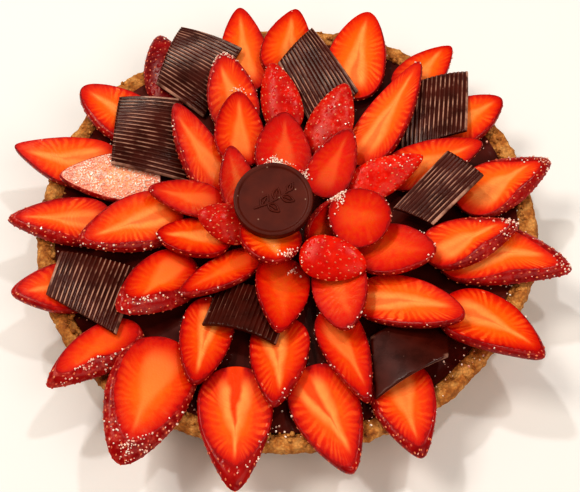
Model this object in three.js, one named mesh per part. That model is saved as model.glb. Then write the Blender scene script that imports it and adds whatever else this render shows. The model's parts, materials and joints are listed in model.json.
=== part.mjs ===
// A strawberry tart: a shortcrust shell filled with chocolate ganache, a heap of
// strawberry slices laid as the petals of a flower, curved leaves of combed chocolate
// tucked between them, and a chocolate medallion on top.
// Millimetres, +Z up, origin under the middle of the shell, on the table.
import * as THREE from "three";
import { ConvexHull } from "three/addons/math/ConvexHull.js";
import { ImprovedNoise } from "three/addons/math/ImprovedNoise.js";

// The shell and its filling.
const RIM_RADIUS = 115;
const BASE_RADIUS = 105;
const RIM_HEIGHT = 25.5;
const RIM_WIDTH = 8;
const FLOOR_THICKNESS = 7;
const GANACHE_LEVEL = 23.6;
const GANACHE_SHORE = 0.8; // how far the ganache climbs where it meets the rim
const SHELL_SEGMENTS = 104;
const RIM_WAVE = 1.3; // slow wander of the rim's outline
const CRAG_DEPTH = 0.9; // crumbly relief of the baked rim
const CRAG_SIZE = 7;

// Thickness of the berry slices; the inner rings are cut thinner.
const HEART_DEPTH = 4.5;
const HALF_DEPTH = 7;
const CAP_DEPTH = 5.5;
const THINNING = { outer: 1, middle: 0.9, inner: 0.75 };
const SLICE_SEGMENTS = 16;

// The combed chocolate.
const CHOCOLATE_THICKNESS = 1.7;
const RIDGE_PITCH = 2.1;
const RIDGE_DEPTH = 0.6;
const LEAF_STEPS = 6;

// The medallion.
const MEDALLION_RADIUS = 17.5;
const MEDALLION_THICKNESS = 4.6;
const MEDALLION_BORDER = 2.4;
const MEDALLION_RECESS = 0.7;
const MEDALLION_SEGMENTS = 40;

// Laying the heap.
const GAP = 0.3; // air left between pieces that touch
const CELL = 0.8; // grid on which the heap's height is kept
const REACH = 152; // half the side of that grid
const STEEPEST = 18; // degrees; a slice never settles steeper than this
const HELD = 0.22; // where a slice is held down: this share of its length back from its middle

const DEG = Math.PI / 180;
const noise = new ImprovedNoise();

// Colours and finishes; each piece gets a copy of its own.
const shellFinish = new THREE.MeshStandardMaterial({ color: 0xd0a06a, roughness: 0.85 });
const ganacheFinish = new THREE.MeshStandardMaterial({ color: 0x2c100c, roughness: 0.3 });
const fleshFinish = new THREE.MeshStandardMaterial({ color: 0xe8501e, roughness: 0.4 });
const skinFinish = new THREE.MeshStandardMaterial({ color: 0xb0122a, roughness: 0.35 });
const chocolateFinish = new THREE.MeshStandardMaterial({ color: 0x3a1a14, roughness: 0.35 });

// Sections of a slice, from the middle of its underside to the middle of its top:
// each point is a share of the outline and a share of the thickness.
const KINDS = {
  // cut through the core on both faces, with a rim of skin
  heart: {
    depth: HEART_DEPTH,
    finish: fleshFinish,
    section: [[0, 0], [0.92, 0], [1, 0.5], [0.98, 1], [0, 1]],
  },
  // a thick outer half, cut face up, with its skin curving in underneath
  half: {
    depth: HALF_DEPTH,
    finish: fleshFinish,
    section: [[0, 0], [0.6, 0], [0.88, 0.34], [1, 0.84], [0.98, 1], [0, 1]],
  },
  // the outermost slice of a berry, skin up and cut face down
  cap: {
    depth: CAP_DEPTH,
    finish: skinFinish,
    section: [[0, 0], [0.97, 0], [1, 0.16], [0.84, 0.62], [0.5, 0.92], [0, 1]],
  },
};

// One slice: the bearing and distance of its tip from the middle of the tart, its length
// and width, and how far its own line turns from the radial one (counter-clockwise).
// `point` narrows the tip and `bulge` carries the belly to the left of that line. `roll`
// props the slice on its edge at that angle, where it doesn't simply lie on what is under it.
const slice = (kind, bearing, reach, length, width, swing, options = {}) => ({
  kind, bearing, reach, length, width, swing, ...options,
});

// One leaf of chocolate: its middle, the heading of its ridges, its length along them,
// the number of ridges, the angle from the ridges to the axis it is bent round, the
// bend's radius, and how its two ends slant.
const leaf = (bearing, reach, heading, length, ridges, bendAngle, bendRadius, slants) => ({
  bearing, reach, heading, length, ridges, bendAngle, bendRadius, slants,
});

const OUTER_SLICES = {
  left_low: slice("half", 221, 134, 47, 22, -4, { point: 0.55, bulge: -1 }),
  front_left: slice("half", 241, 141, 60, 36, 11, { point: 0.45, bulge: -1 }),
  left_middle: slice("heart", 199, 129, 39, 26, -12, { point: 0.6 }),
  front: slice("heart", 261, 134, 55, 32, 10, { point: 0.6 }),
  front_right: slice("heart", 282, 128, 51, 30, 6, { point: 0.55, bulge: -1 }),
  right_low: slice("heart", 295, 131, 44, 28, -13, { point: 0.6, bulge: -1 }),
  left: slice("half", 182, 128, 48, 25, -3, { point: 0.65 }),
  left_high: slice("heart", 164, 135, 51, 28, 4, { point: 0.7, bulge: 2.5 }),
  back_left_low: slice("half", 145, 123, 47, 28, 1, { point: 0.4, bulge: 1 }),
  back_left: slice("cap", 121, 126, 46, 24, -19, { point: 0.5 }),
  back: slice("heart", 101, 127, 54, 25, -6, { point: 0.55 }),
  back_middle: slice("heart", 88, 122, 46, 27, -8, { point: 0.6 }),
  back_right: slice("heart", 71, 129, 56, 30, 8, { point: 0.45, bulge: 1 }),
  back_right_low: slice("heart", 50, 129, 40, 23, -3, { point: 0.6 }),
  right_high: slice("heart", 32, 124, 38, 25, 1, { point: 0.5 }),
  right: slice("half", 13, 128, 52, 27, 15, { point: 0.6 }),
};
const OUTER_SLICES_OVER_LEAF = {
  right_front: slice("heart", 325, 133, 50, 33, 2, { point: 0.6, bulge: 2 }),
  right_middle: slice("half", 347, 131, 60, 31, 8, { point: 0.5, bulge: 4 }),
  right_inner: slice("half", 354, 105, 47, 24, 25, { point: 0.6 }),
};
const MIDDLE_SLICES_UNDER_LEAVES = {
  left_high: slice("heart", 172, 107, 47, 27, 15, { point: 0.6 }),
};
const MIDDLE_SLICES = {
  left: slice("half", 192, 97, 51, 28, 15, { point: 0.55 }),
  left_low: slice("half", 217, 93, 45, 28, 7, { point: 0.5 }),
  front_left: slice("heart", 246, 98, 46, 23, 14, { point: 0.45 }),
  front: slice("heart", 267, 100, 47, 26, -1, { point: 0.6 }),
  front_right: slice("heart", 289, 104, 52, 21, -2, { point: 0.65 }),
  right_low: slice("heart", 321, 99, 52, 26, 15, { point: 0.4, bulge: 1 }),
  right_high: slice("heart", 21, 99, 50, 22, -3, { point: 0.5 }),
  back_right: slice("heart", 51, 106, 67, 25, 9, { point: 0.6 }),
  back_skin_right: slice("cap", 67, 75, 40, 23, 1, { point: 0.5 }),
  back_skin: slice("cap", 95, 82, 38, 20, 7, { point: 0.45 }),
  back: slice("heart", 110, 94, 43, 25, -7, { point: 0.4 }),
  back_left: slice("half", 136, 76, 50, 21, -17, { point: 0.5 }),
};
const INNER_SLICES = {
  front_left: slice("heart", 226, 67, 43, 19, -9, { point: 0.45 }),
  left: slice("heart", 195, 61, 34, 25, -15, { point: 0.35 }),
  left_high: slice("heart", 174, 64, 35, 17, -2, { point: 0.45 }),
  back_left: slice("heart", 111, 67, 42, 25, -18, { point: 0.45 }),
  right_high: slice("cap", 23, 69, 39, 19, 4, { point: 0.6 }),
  right: slice("heart", 336, 73, 37, 28, 9, { point: 0.4 }),
  front_right: slice("heart", 292, 71, 40, 25, -15, { point: 0.35 }),
  front: slice("heart", 266, 66, 40, 25, -1, { point: 0.6 }),
  back: slice("heart", 92, 51, 37, 28, -3, { point: 0.5 }),
  back_right: slice("heart", 52, 49, 36, 22, 12, { point: 0.5 }),
  back_left_low: slice("heart", 134, 39, 34, 18, -31, { point: 0.5 }),
  left_skin: slice("cap", 191, 41, 26, 19, -25, { point: 0.4 }),
  right_upright: slice("heart", 8, 27, 32, 24, 46, { point: 0.4, roll: 68 }),
  right_top: slice("heart", 352, 46, 28, 27, 30, { point: 0.15 }),
  front_skin: slice("cap", 314, 50, 30, 20, 32, { point: 0.3, roll: 20 }),
  front_top: slice("heart", 259, 39, 27, 28, 11, { point: 0.3 }),
};

const LEAF_UNDER_RIGHT = {
  front_right: leaf(307, 87, 27, 38, 13, 90, -60, [-0.5, -0.6]),
};
const LEAVES_UNDER_MIDDLE = {
  left_low: leaf(205, 95, 78, 30, 17, 45, 55, [0.36, -0.1]),
  left: leaf(148, 77, -9, 33, 19, 48, 55, [-0.14, -0.3]),
  back_left: leaf(118, 96, -33, 33, 20, 45, 55, [-0.36, -0.14]),
  back: leaf(79, 78, -62, 44, 14, 28, 55, [-0.55, -0.42]),
  right_high: leaf(39, 92, 84, 39, 15, 28, 55, [-0.36, -0.47]),
};
const LEAVES_OVER_MIDDLE = {
  right: leaf(6, 70, 45, 37, 11, 10, 50, [-0.1, 0.07]),
  front_left: leaf(252, 55, 74, 25, 16, 0, 36, [0, 0]),
};
const MEDALLION_PLACE = { x: -6, y: -7, towardsFront: 10 };

// The whole berry that stands in the middle of the heap and props the medallion.
const WHOLE_BERRY = { x: -1, y: 0, width: 16, length: 25, towardsBack: 20 };
const WHOLE_BERRY_SIDE = [
  [0, 0], [0.7, 0.02], [0.95, 0.14], [1, 0.34], [0.9, 0.58], [0.66, 0.8], [0.34, 0.95], [0, 1],
];

// Moves every vertex of a geometry as `place` says; it changes the point it is given.
function reshape(geometry, place) {
  const position = geometry.getAttribute("position");
  const point = new THREE.Vector3();
  for (let i = 0; i < position.count; i++) {
    point.fromBufferAttribute(position, i);
    place(point);
    position.setXYZ(i, point.x, point.y, point.z);
  }
  geometry.computeVertexNormals();
  return geometry;
}

// A closed solid of revolution about +Z, from [radius, height] pairs, bottom to top.
function turned(profile, segments) {
  const points = profile.map(([radius, height]) => new THREE.Vector2(radius, height));
  return new THREE.LatheGeometry(points, segments).rotateX(Math.PI / 2);
}

const blend = (from, to, share) => from + (to - from) * share;

// How far the hand-pressed shell wanders from a true circle at this bearing.
function rimWave(angle) {
  return RIM_WAVE * (0.7 * Math.sin(2 * angle + 0.6) + 0.5 * Math.sin(5 * angle + 2.1) +
    0.35 * Math.sin(9 * angle + 4.0));
}

// Pushes a point of the shell out or in with the wander, keeping the axis in place.
function wander(point) {
  const radius = Math.hypot(point.x, point.y);
  if (radius < 1) return;
  const scale = 1 + rimWave(Math.atan2(point.y, point.x)) / RIM_RADIUS;
  point.x *= scale;
  point.y *= scale;
}

// Radius of the shell's inner wall at a height.
function innerWall(height) {
  const share = (height - FLOOR_THICKNESS) / (RIM_HEIGHT - FLOOR_THICKNESS);
  return blend(BASE_RADIUS - RIM_WIDTH, RIM_RADIUS - RIM_WIDTH, share);
}

function shellGeometry() {
  const lip = RIM_HEIGHT - 1.5;
  const geometry = turned([
    [0, 0], [BASE_RADIUS - 1.5, 0], [BASE_RADIUS, 1.5], [blend(BASE_RADIUS, RIM_RADIUS, 0.3), 8],
    [blend(BASE_RADIUS, RIM_RADIUS, 0.75), 17], [RIM_RADIUS, lip - 1], [RIM_RADIUS - 1.5, RIM_HEIGHT],
    [RIM_RADIUS - 0.65 * RIM_WIDTH, RIM_HEIGHT], [innerWall(lip), lip],
    [innerWall(14), 14], [innerWall(FLOOR_THICKNESS), FLOOR_THICKNESS], [0, FLOOR_THICKNESS],
  ], SHELL_SEGMENTS);
  // The inner wall stays smooth, so that the ganache fits it.
  return reshape(geometry, (point) => {
    const radius = Math.hypot(point.x, point.y);
    const outside = radius > innerWall(point.z) + 1.5 && point.z > 2;
    if (outside) {
      const [x, y, z] = [point.x / CRAG_SIZE, point.y / CRAG_SIZE, point.z / CRAG_SIZE];
      const push = 1 + CRAG_DEPTH * noise.noise(x, y, z) / radius;
      point.x *= push;
      point.y *= push;
      if (point.z > lip - 2) point.z += CRAG_DEPTH * noise.noise(x + 9, y, z);
    }
    wander(point);
  });
}

function ganacheGeometry() {
  const shore = GANACHE_LEVEL + GANACHE_SHORE;
  const geometry = turned([
    [0, FLOOR_THICKNESS + GAP], [innerWall(FLOOR_THICKNESS + GAP) - GAP, FLOOR_THICKNESS + GAP],
    [innerWall(14) - GAP, 14], [innerWall(shore) - GAP, shore],
    [innerWall(shore) - 3.5, GANACHE_LEVEL + 0.2], [innerWall(shore) - 9, GANACHE_LEVEL],
    [0, GANACHE_LEVEL],
  ], SHELL_SEGMENTS);
  return reshape(geometry, wander);
}

// The slice's outline is a rounded petal: blunt where the leaves were, narrowed to the tip.
function sliceGeometry({ kind, length, width, point: narrowing = 0.5, bulge = 0 }, thinning) {
  const { depth, section } = KINDS[kind];
  const fullest = 1 / petalWidth(widestShare(narrowing), narrowing);
  return reshape(turned(section, SLICE_SEGMENTS), (point) => {
    const share = Math.hypot(point.x, point.y);
    const angle = Math.atan2(point.y, point.x);
    const toTip = (1 + Math.cos(angle)) / 2;
    const blunt = Math.cos(angle) < 0 ? 0.8 : 1;
    const along = Math.sign(Math.cos(angle)) * Math.abs(Math.cos(angle)) ** blunt;
    const across = Math.sign(Math.sin(angle)) * petalWidth(toTip, narrowing) * fullest;
    point.x = share * along * length / 2;
    point.y = share * across * width / 2 + bulge * (1 - (share * along) ** 2);
    point.z *= depth * thinning;
  });
}

// Half-width of the petal at a share of its length, before it is scaled to size.
function petalWidth(share, narrowing) {
  return 2 * Math.sqrt(Math.max(0, share * (1 - share))) * (1 - narrowing * share ** 1.4);
}

// Where along its length the petal is widest, found by walking it.
function widestShare(narrowing) {
  let best = 0;
  for (let share = 0; share <= 1; share += 0.01) {
    if (petalWidth(share, narrowing) > petalWidth(best, narrowing)) best = share;
  }
  return best;
}

// The indices of the triangles that fill a section between its lower and its upper row of
// points, counter-clockwise. Each row is a list of places across the section.
function fillSection(lower, upper) {
  const triangles = [];
  const upperIndex = (k) => lower.length + upper.length - 1 - k;
  let [i, k] = [0, 0];
  while (i < lower.length - 1 || k < upper.length - 1) {
    const lowerDone = i === lower.length - 1;
    const upperNext = k < upper.length - 1 && upper[k] + upper[k + 1] <= lower[i] + lower[i + 1];
    if (lowerDone || upperNext) {
      triangles.push([i, upperIndex(k + 1), upperIndex(k)]);
      k += 1;
    } else {
      triangles.push([i, i + 1, upperIndex(k)]);
      i += 1;
    }
  }
  return triangles;
}

// A sheet with sawtooth ridges along +X, bent round an axis that lies askew to them.
function leafGeometry({ length, ridges, bendAngle, bendRadius, slants }) {
  const width = ridges * RIDGE_PITCH;
  const valley = CHOCOLATE_THICKNESS - RIDGE_DEPTH;
  const underSteps = Math.ceil(ridges / 2);
  const lower = Array.from({ length: underSteps + 1 }, (_, i) => width * i / underSteps);
  const upper = Array.from({ length: 2 * ridges + 1 }, (_, k) => RIDGE_PITCH * k / 2);
  const heights = upper.map((_, k) => (k % 2 ? CHOCOLATE_THICKNESS : valley));
  const loop = [...lower.map((across) => [across, 0]),
    ...upper.map((across, k) => [across, heights[k]]).reverse()];
  const points = [];
  const indices = [];
  for (let step = 0; step <= LEAF_STEPS; step++) {
    loop.forEach(([across, up]) => points.push(across, up, length * step / LEAF_STEPS));
  }
  const count = loop.length;
  for (let step = 0; step < LEAF_STEPS; step++) {
    for (let i = 0; i < count; i++) {
      const [a, b] = [step * count + i, step * count + (i + 1) % count];
      indices.push(a, b, b + count, a, b + count, a + count);
    }
  }
  const farEnd = LEAF_STEPS * count;
  fillSection(lower, upper).forEach(([a, b, c]) => {
    indices.push(a, c, b, a + farEnd, b + farEnd, c + farEnd);
  });
  const geometry = new THREE.BufferGeometry();
  geometry.setAttribute("position", new THREE.Float32BufferAttribute(points, 3));
  geometry.setIndex(indices);
  const sign = Math.sign(bendRadius);
  const radius = Math.abs(bendRadius);
  const [cos, sin] = [Math.cos(bendAngle * DEG), Math.sin(bendAngle * DEG)];
  return reshape(geometry, (point) => {
    const [across, up, along] = [point.x - width / 2, point.y, point.z / length];
    const x = blend(slants[0] * across, length + slants[1] * across, along) - length / 2;
    const offAxis = -x * sin + across * cos;
    const onAxis = x * cos + across * sin;
    const angle = offAxis / radius;
    const bent = (radius + sign * up) * Math.sin(angle);
    const rise = sign * ((radius + sign * up) * Math.cos(angle) - radius);
    point.set(onAxis * cos - bent * sin, onAxis * sin + bent * cos, rise);
  });
}

function wholeBerryGeometry() {
  const { width, length } = WHOLE_BERRY;
  const side = WHOLE_BERRY_SIDE.map(([share, height]) => [share * width / 2, height * length]);
  return turned(side, SLICE_SEGMENTS);
}

function medallionGeometry() {
  const [radius, top] = [MEDALLION_RADIUS, MEDALLION_THICKNESS];
  const field = radius - MEDALLION_BORDER;
  return turned([
    [0, 0], [radius - 1.2, 0], [radius - 0.2, 0.8], [radius, top - 1.2], [radius - 0.7, top],
    [field + 0.9, top], [field, top - MEDALLION_RECESS], [0, top - MEDALLION_RECESS],
  ], MEDALLION_SEGMENTS);
}

// The heap so far, kept as its height over a square grid.
class Heap {
  constructor() {
    this.across = Math.ceil(2 * REACH / CELL);
    this.heights = new Float32Array(this.across ** 2);
  }

  // The lowest and highest point of a mesh over each cell that it covers.
  profile(mesh) {
    mesh.updateMatrix();
    const flat = mesh.geometry.index ? mesh.geometry.toNonIndexed() : mesh.geometry;
    const position = flat.getAttribute("position");
    const corners = [new THREE.Vector3(), new THREE.Vector3(), new THREE.Vector3()];
    const found = new Map();
    for (let i = 0; i < position.count; i += 3) {
      corners.forEach((c, k) => c.fromBufferAttribute(position, i + k).applyMatrix4(mesh.matrix));
      this.coverTriangle(corners, found);
    }
    return found;
  }

  coverTriangle([a, b, c], found) {
    const area = (b.x - a.x) * (c.y - a.y) - (c.x - a.x) * (b.y - a.y);
    if (Math.abs(area) < 1e-9) return;
    const first = (...values) => Math.ceil((Math.min(...values) + REACH) / CELL);
    const last = (...values) => Math.floor((Math.max(...values) + REACH) / CELL);
    for (let row = first(a.y, b.y, c.y); row <= last(a.y, b.y, c.y); row++) {
      for (let column = first(a.x, b.x, c.x); column <= last(a.x, b.x, c.x); column++) {
        const [x, y] = [column * CELL - REACH, row * CELL - REACH];
        const u = ((b.x - x) * (c.y - y) - (c.x - x) * (b.y - y)) / area;
        const v = ((c.x - x) * (a.y - y) - (a.x - x) * (c.y - y)) / area;
        if (u < -1e-6 || v < -1e-6 || u + v > 1 + 1e-6) continue;
        const z = u * a.z + v * b.z + (1 - u - v) * c.z;
        const cell = row * this.across + column;
        const range = found.get(cell);
        if (!range) found.set(cell, [z, z]);
        else found.set(cell, [Math.min(range[0], z), Math.max(range[1], z)]);
      }
    }
  }

  // The heap's height at a cell or at any of its eight neighbours, the highest of them.
  height(cell) {
    let highest = 0;
    for (const row of [-this.across, 0, this.across]) {
      for (const column of [-1, 0, 1]) {
        highest = Math.max(highest, this.heights[cell + row + column]);
      }
    }
    return highest;
  }

  add(mesh) {
    this.profile(mesh).forEach(([, high], cell) => {
      this.heights[cell] = Math.max(this.heights[cell], high);
    });
    return mesh;
  }

  // Brings a mesh straight down until it all but touches the heap.
  lower(mesh) {
    let rise = -Infinity;
    this.profile(mesh).forEach(([low], cell) => {
      rise = Math.max(rise, this.height(cell) - low);
    });
    mesh.position.z += rise + GAP;
    return this.add(mesh);
  }

  // Tilts a mesh to lie on the three points of the heap that carry it where it's held down,
  // then lowers it.
  rest(mesh, held = mesh.position) {
    const clearances = [];
    this.profile(mesh).forEach(([low], cell) => {
      const x = (cell % this.across) * CELL - REACH - held.x;
      const y = Math.floor(cell / this.across) * CELL - REACH - held.y;
      clearances.push(new THREE.Vector3(x, y, this.height(cell) - low));
    });
    const up = new THREE.Vector3(0, 0, 1);
    const normal = supportNormal(clearances);
    const tilt = Math.min(normal.angleTo(up), STEEPEST * DEG);
    const axis = new THREE.Vector3().crossVectors(up, normal);
    if (axis.length() > 1e-6) {
      const turn = new THREE.Quaternion().setFromAxisAngle(axis.normalize(), tilt);
      mesh.quaternion.premultiply(turn);
    }
    return this.lower(mesh);
  }
}

// The upward normal of the hull face that lies over the points' origin: a rigid plate whose
// weight hangs there rests on that face's corners.
function supportNormal(points) {
  const hull = new ConvexHull().setFromPoints(points);
  let [best, lowest] = [new THREE.Vector3(0, 0, 1), Infinity];
  hull.faces.forEach((face) => {
    if (face.normal.z < 0.05) return;
    const height = face.normal.dot(face.midpoint) / face.normal.z;
    if (height < lowest) [best, lowest] = [face.normal.clone(), height];
  });
  return best;
}

const tart = new THREE.Group();
const heap = new Heap();

function addPiece(name, geometry, finish) {
  const mesh = new THREE.Mesh(geometry, finish.clone());
  mesh.name = name;
  tart.add(mesh);
  return mesh;
}

const bearingPoint = (bearing, reach) =>
  new THREE.Vector3(Math.cos(bearing * DEG) * reach, Math.sin(bearing * DEG) * reach, 0);

function laySlices(ring, slices) {
  for (const [place, size] of Object.entries(slices)) {
    const name = `berry_${size.kind}_${ring}_${place}`;
    const mesh = addPiece(name, sliceGeometry(size, THINNING[ring]), KINDS[size.kind].finish);
    const heading = size.bearing + size.swing;
    mesh.position.copy(bearingPoint(size.bearing, size.reach)).sub(bearingPoint(heading, size.length / 2));
    mesh.rotation.set((size.roll ?? 0) * DEG, 0, heading * DEG, "ZYX");
    // The slices above hold each one down towards its broad end.
    const held = mesh.position.clone().sub(bearingPoint(heading, HELD * size.length));
    if (size.roll === undefined) heap.rest(mesh, held);
    else heap.lower(mesh);
  }
}

function layLeaves(leaves) {
  for (const [place, size] of Object.entries(leaves)) {
    const mesh = addPiece(`chocolate_leaf_${place}`, leafGeometry(size), chocolateFinish);
    mesh.position.copy(bearingPoint(size.bearing, size.reach));
    // A leaf with a negative bend lies with its ridges down.
    mesh.rotation.set(size.bendRadius < 0 ? Math.PI : 0, 0, size.heading * DEG, "ZYX");
    heap.rest(mesh);
  }
}

heap.add(addPiece("crust", shellGeometry(), shellFinish));
heap.add(addPiece("ganache", ganacheGeometry(), ganacheFinish));
laySlices("outer", OUTER_SLICES);
layLeaves(LEAF_UNDER_RIGHT);
laySlices("outer", OUTER_SLICES_OVER_LEAF);
laySlices("middle", MIDDLE_SLICES_UNDER_LEAVES);
layLeaves(LEAVES_UNDER_MIDDLE);
laySlices("middle", MIDDLE_SLICES);
layLeaves(LEAVES_OVER_MIDDLE);
laySlices("inner", INNER_SLICES);

const wholeBerry = addPiece("berry_whole_inner_middle", wholeBerryGeometry(), skinFinish);
wholeBerry.position.set(WHOLE_BERRY.x, WHOLE_BERRY.y, 0);
wholeBerry.rotation.x = -WHOLE_BERRY.towardsBack * DEG;
heap.lower(wholeBerry);

const medallion = addPiece("chocolate_medallion", medallionGeometry(), chocolateFinish);
medallion.position.set(MEDALLION_PLACE.x, MEDALLION_PLACE.y, 0);
medallion.rotation.x = MEDALLION_PLACE.towardsFront * DEG;
heap.lower(medallion);

export default tart;
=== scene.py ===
"""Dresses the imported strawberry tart: every slice of fruit, the combed chocolate, the
medallion, the filling and the shortcrust shell get their real surfaces, and the seeds,
sugar and crumbs are laid on them. Metres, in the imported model's own frame."""

import json
import logging
import math
import random
from collections.abc import Callable, Iterator
from dataclasses import dataclass, field
from enum import Enum

import bmesh
import bpy
from mathutils import Matrix, Vector, noise

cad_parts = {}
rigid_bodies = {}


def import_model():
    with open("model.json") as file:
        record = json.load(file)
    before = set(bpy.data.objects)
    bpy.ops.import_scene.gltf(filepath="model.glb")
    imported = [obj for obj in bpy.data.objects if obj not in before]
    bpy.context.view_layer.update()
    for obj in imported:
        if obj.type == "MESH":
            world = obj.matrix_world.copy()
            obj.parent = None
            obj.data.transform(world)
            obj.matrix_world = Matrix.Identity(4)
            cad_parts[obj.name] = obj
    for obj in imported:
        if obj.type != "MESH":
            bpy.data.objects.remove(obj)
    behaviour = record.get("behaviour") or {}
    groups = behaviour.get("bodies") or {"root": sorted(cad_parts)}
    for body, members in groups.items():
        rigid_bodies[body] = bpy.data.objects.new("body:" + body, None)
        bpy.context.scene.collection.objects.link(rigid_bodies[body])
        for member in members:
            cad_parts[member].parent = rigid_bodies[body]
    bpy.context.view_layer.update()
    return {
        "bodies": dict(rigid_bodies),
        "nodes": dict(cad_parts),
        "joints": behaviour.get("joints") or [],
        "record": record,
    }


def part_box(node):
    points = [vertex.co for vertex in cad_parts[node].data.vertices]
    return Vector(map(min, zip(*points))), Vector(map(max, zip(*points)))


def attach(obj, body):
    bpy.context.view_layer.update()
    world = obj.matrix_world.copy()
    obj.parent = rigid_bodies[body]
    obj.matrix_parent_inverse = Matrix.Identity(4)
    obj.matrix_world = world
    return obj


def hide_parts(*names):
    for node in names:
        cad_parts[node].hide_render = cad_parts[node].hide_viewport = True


LOG = logging.getLogger("strawberry_tart")
MM = 0.001
FULL_TURN = 2 * math.pi
MERGE_DISTANCE = 0.01 * MM  # corners of a CAD node closer than this are one corner
SHARP = 40  # degrees; a piece's shading breaks at an edge sharper than this

Socket = bpy.types.NodeSocket
Inputs = dict[str | int, object]
Stops = tuple[tuple[float, str], ...]

# A Mix node with these mixes colours: its input 0 is the share of input 7 over input 6.
AS_COLOUR = {"data_type": "RGBA", "output": 2}
EASED = {"interpolation_type": "SMOOTHSTEP"}


def linear(hex_colour: str) -> tuple[float, float, float, float]:
    """Turns an sRGB colour into the linear one that a shader takes.

    Args:
        hex_colour: "#RRGGBB".

    Returns:
        Red, green, blue and alpha, linear.
    """
    parts = [int(hex_colour[i : i + 2], 16) / 255 for i in (1, 3, 5)]
    red, green, blue = (
        c / 12.92 if c <= 0.04045 else ((c + 0.055) / 1.055) ** 2.4 for c in parts
    )
    return red, green, blue, 1.0


@dataclass(frozen=True)
class Nodes:
    """The nodes of one material."""

    tree: bpy.types.NodeTree

    def add(
        self,
        kind: str,
        *values: object,
        named: Inputs | None = None,
        output: str | int = 0,
        stops: Stops = (),
        **settings: object,
    ) -> Socket | None:
        """Adds a node with its settings, values and links.

        Args:
            kind: The node's type after "ShaderNode", such as "Math".
            values: Numbers, or sockets to link from, for its inputs in their order.
            named: The same for inputs by their names or numbers.
            output: The output that is wanted.
            stops: For a colour ramp, its positions and sRGB colours.
            settings: Properties of the node.

        Returns:
            That output, or None where the node has none.
        """
        node = self.tree.nodes.new(f"ShaderNode{kind}")
        for name, value in settings.items():
            setattr(node, name, value)
        for key, value in [*enumerate(values), *(named or {}).items()]:
            if isinstance(value, Socket):
                self.tree.links.new(value, node.inputs[key])
            else:
                node.inputs[key].default_value = value
        if stops:
            elements = node.color_ramp.elements
            while len(elements) < len(stops):
                elements.new(0.5)
            for element, (position, colour) in zip(elements, stops):
                element.position = position
                element.color = linear(colour)
        return node.outputs[output] if node.outputs else None

    def pattern(self, kind: str, size_mm: float, **inputs: float) -> Socket:
        """Adds a texture on Object coordinates, scaled to a real size.

        Args:
            kind: The texture's type, as add() takes it.
            size_mm: How far across its features are.
            inputs: More of its inputs, by name.

        Returns:
            Its first output.
        """
        place = self.add("TexCoord", output="Object")
        return self.add(kind, named={"Vector": place, "Scale": 1000 / size_mm, **inputs})


@dataclass(frozen=True)
class Finish:
    """A surface finish, whose nodes and shader inputs each kind of finish gives."""

    name: str

    def build(self) -> bpy.types.Material:
        """Builds the finish as a material of its own.

        Returns:
            The material.
        """
        material = bpy.data.materials.new(self.name)
        material.use_nodes = True
        material.node_tree.nodes.clear()
        nodes = Nodes(material.node_tree)
        shader = nodes.add("BsdfPrincipled", named=self.surface(nodes))
        nodes.add("OutputMaterial", shader)
        return material

    def surface(self, nodes: Nodes) -> Inputs:
        """Adds the nodes of the finish.

        Args:
            nodes: The material's nodes.

        Returns:
            Values and sockets for the Principled shader.
        """
        raise NotImplementedError


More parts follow.
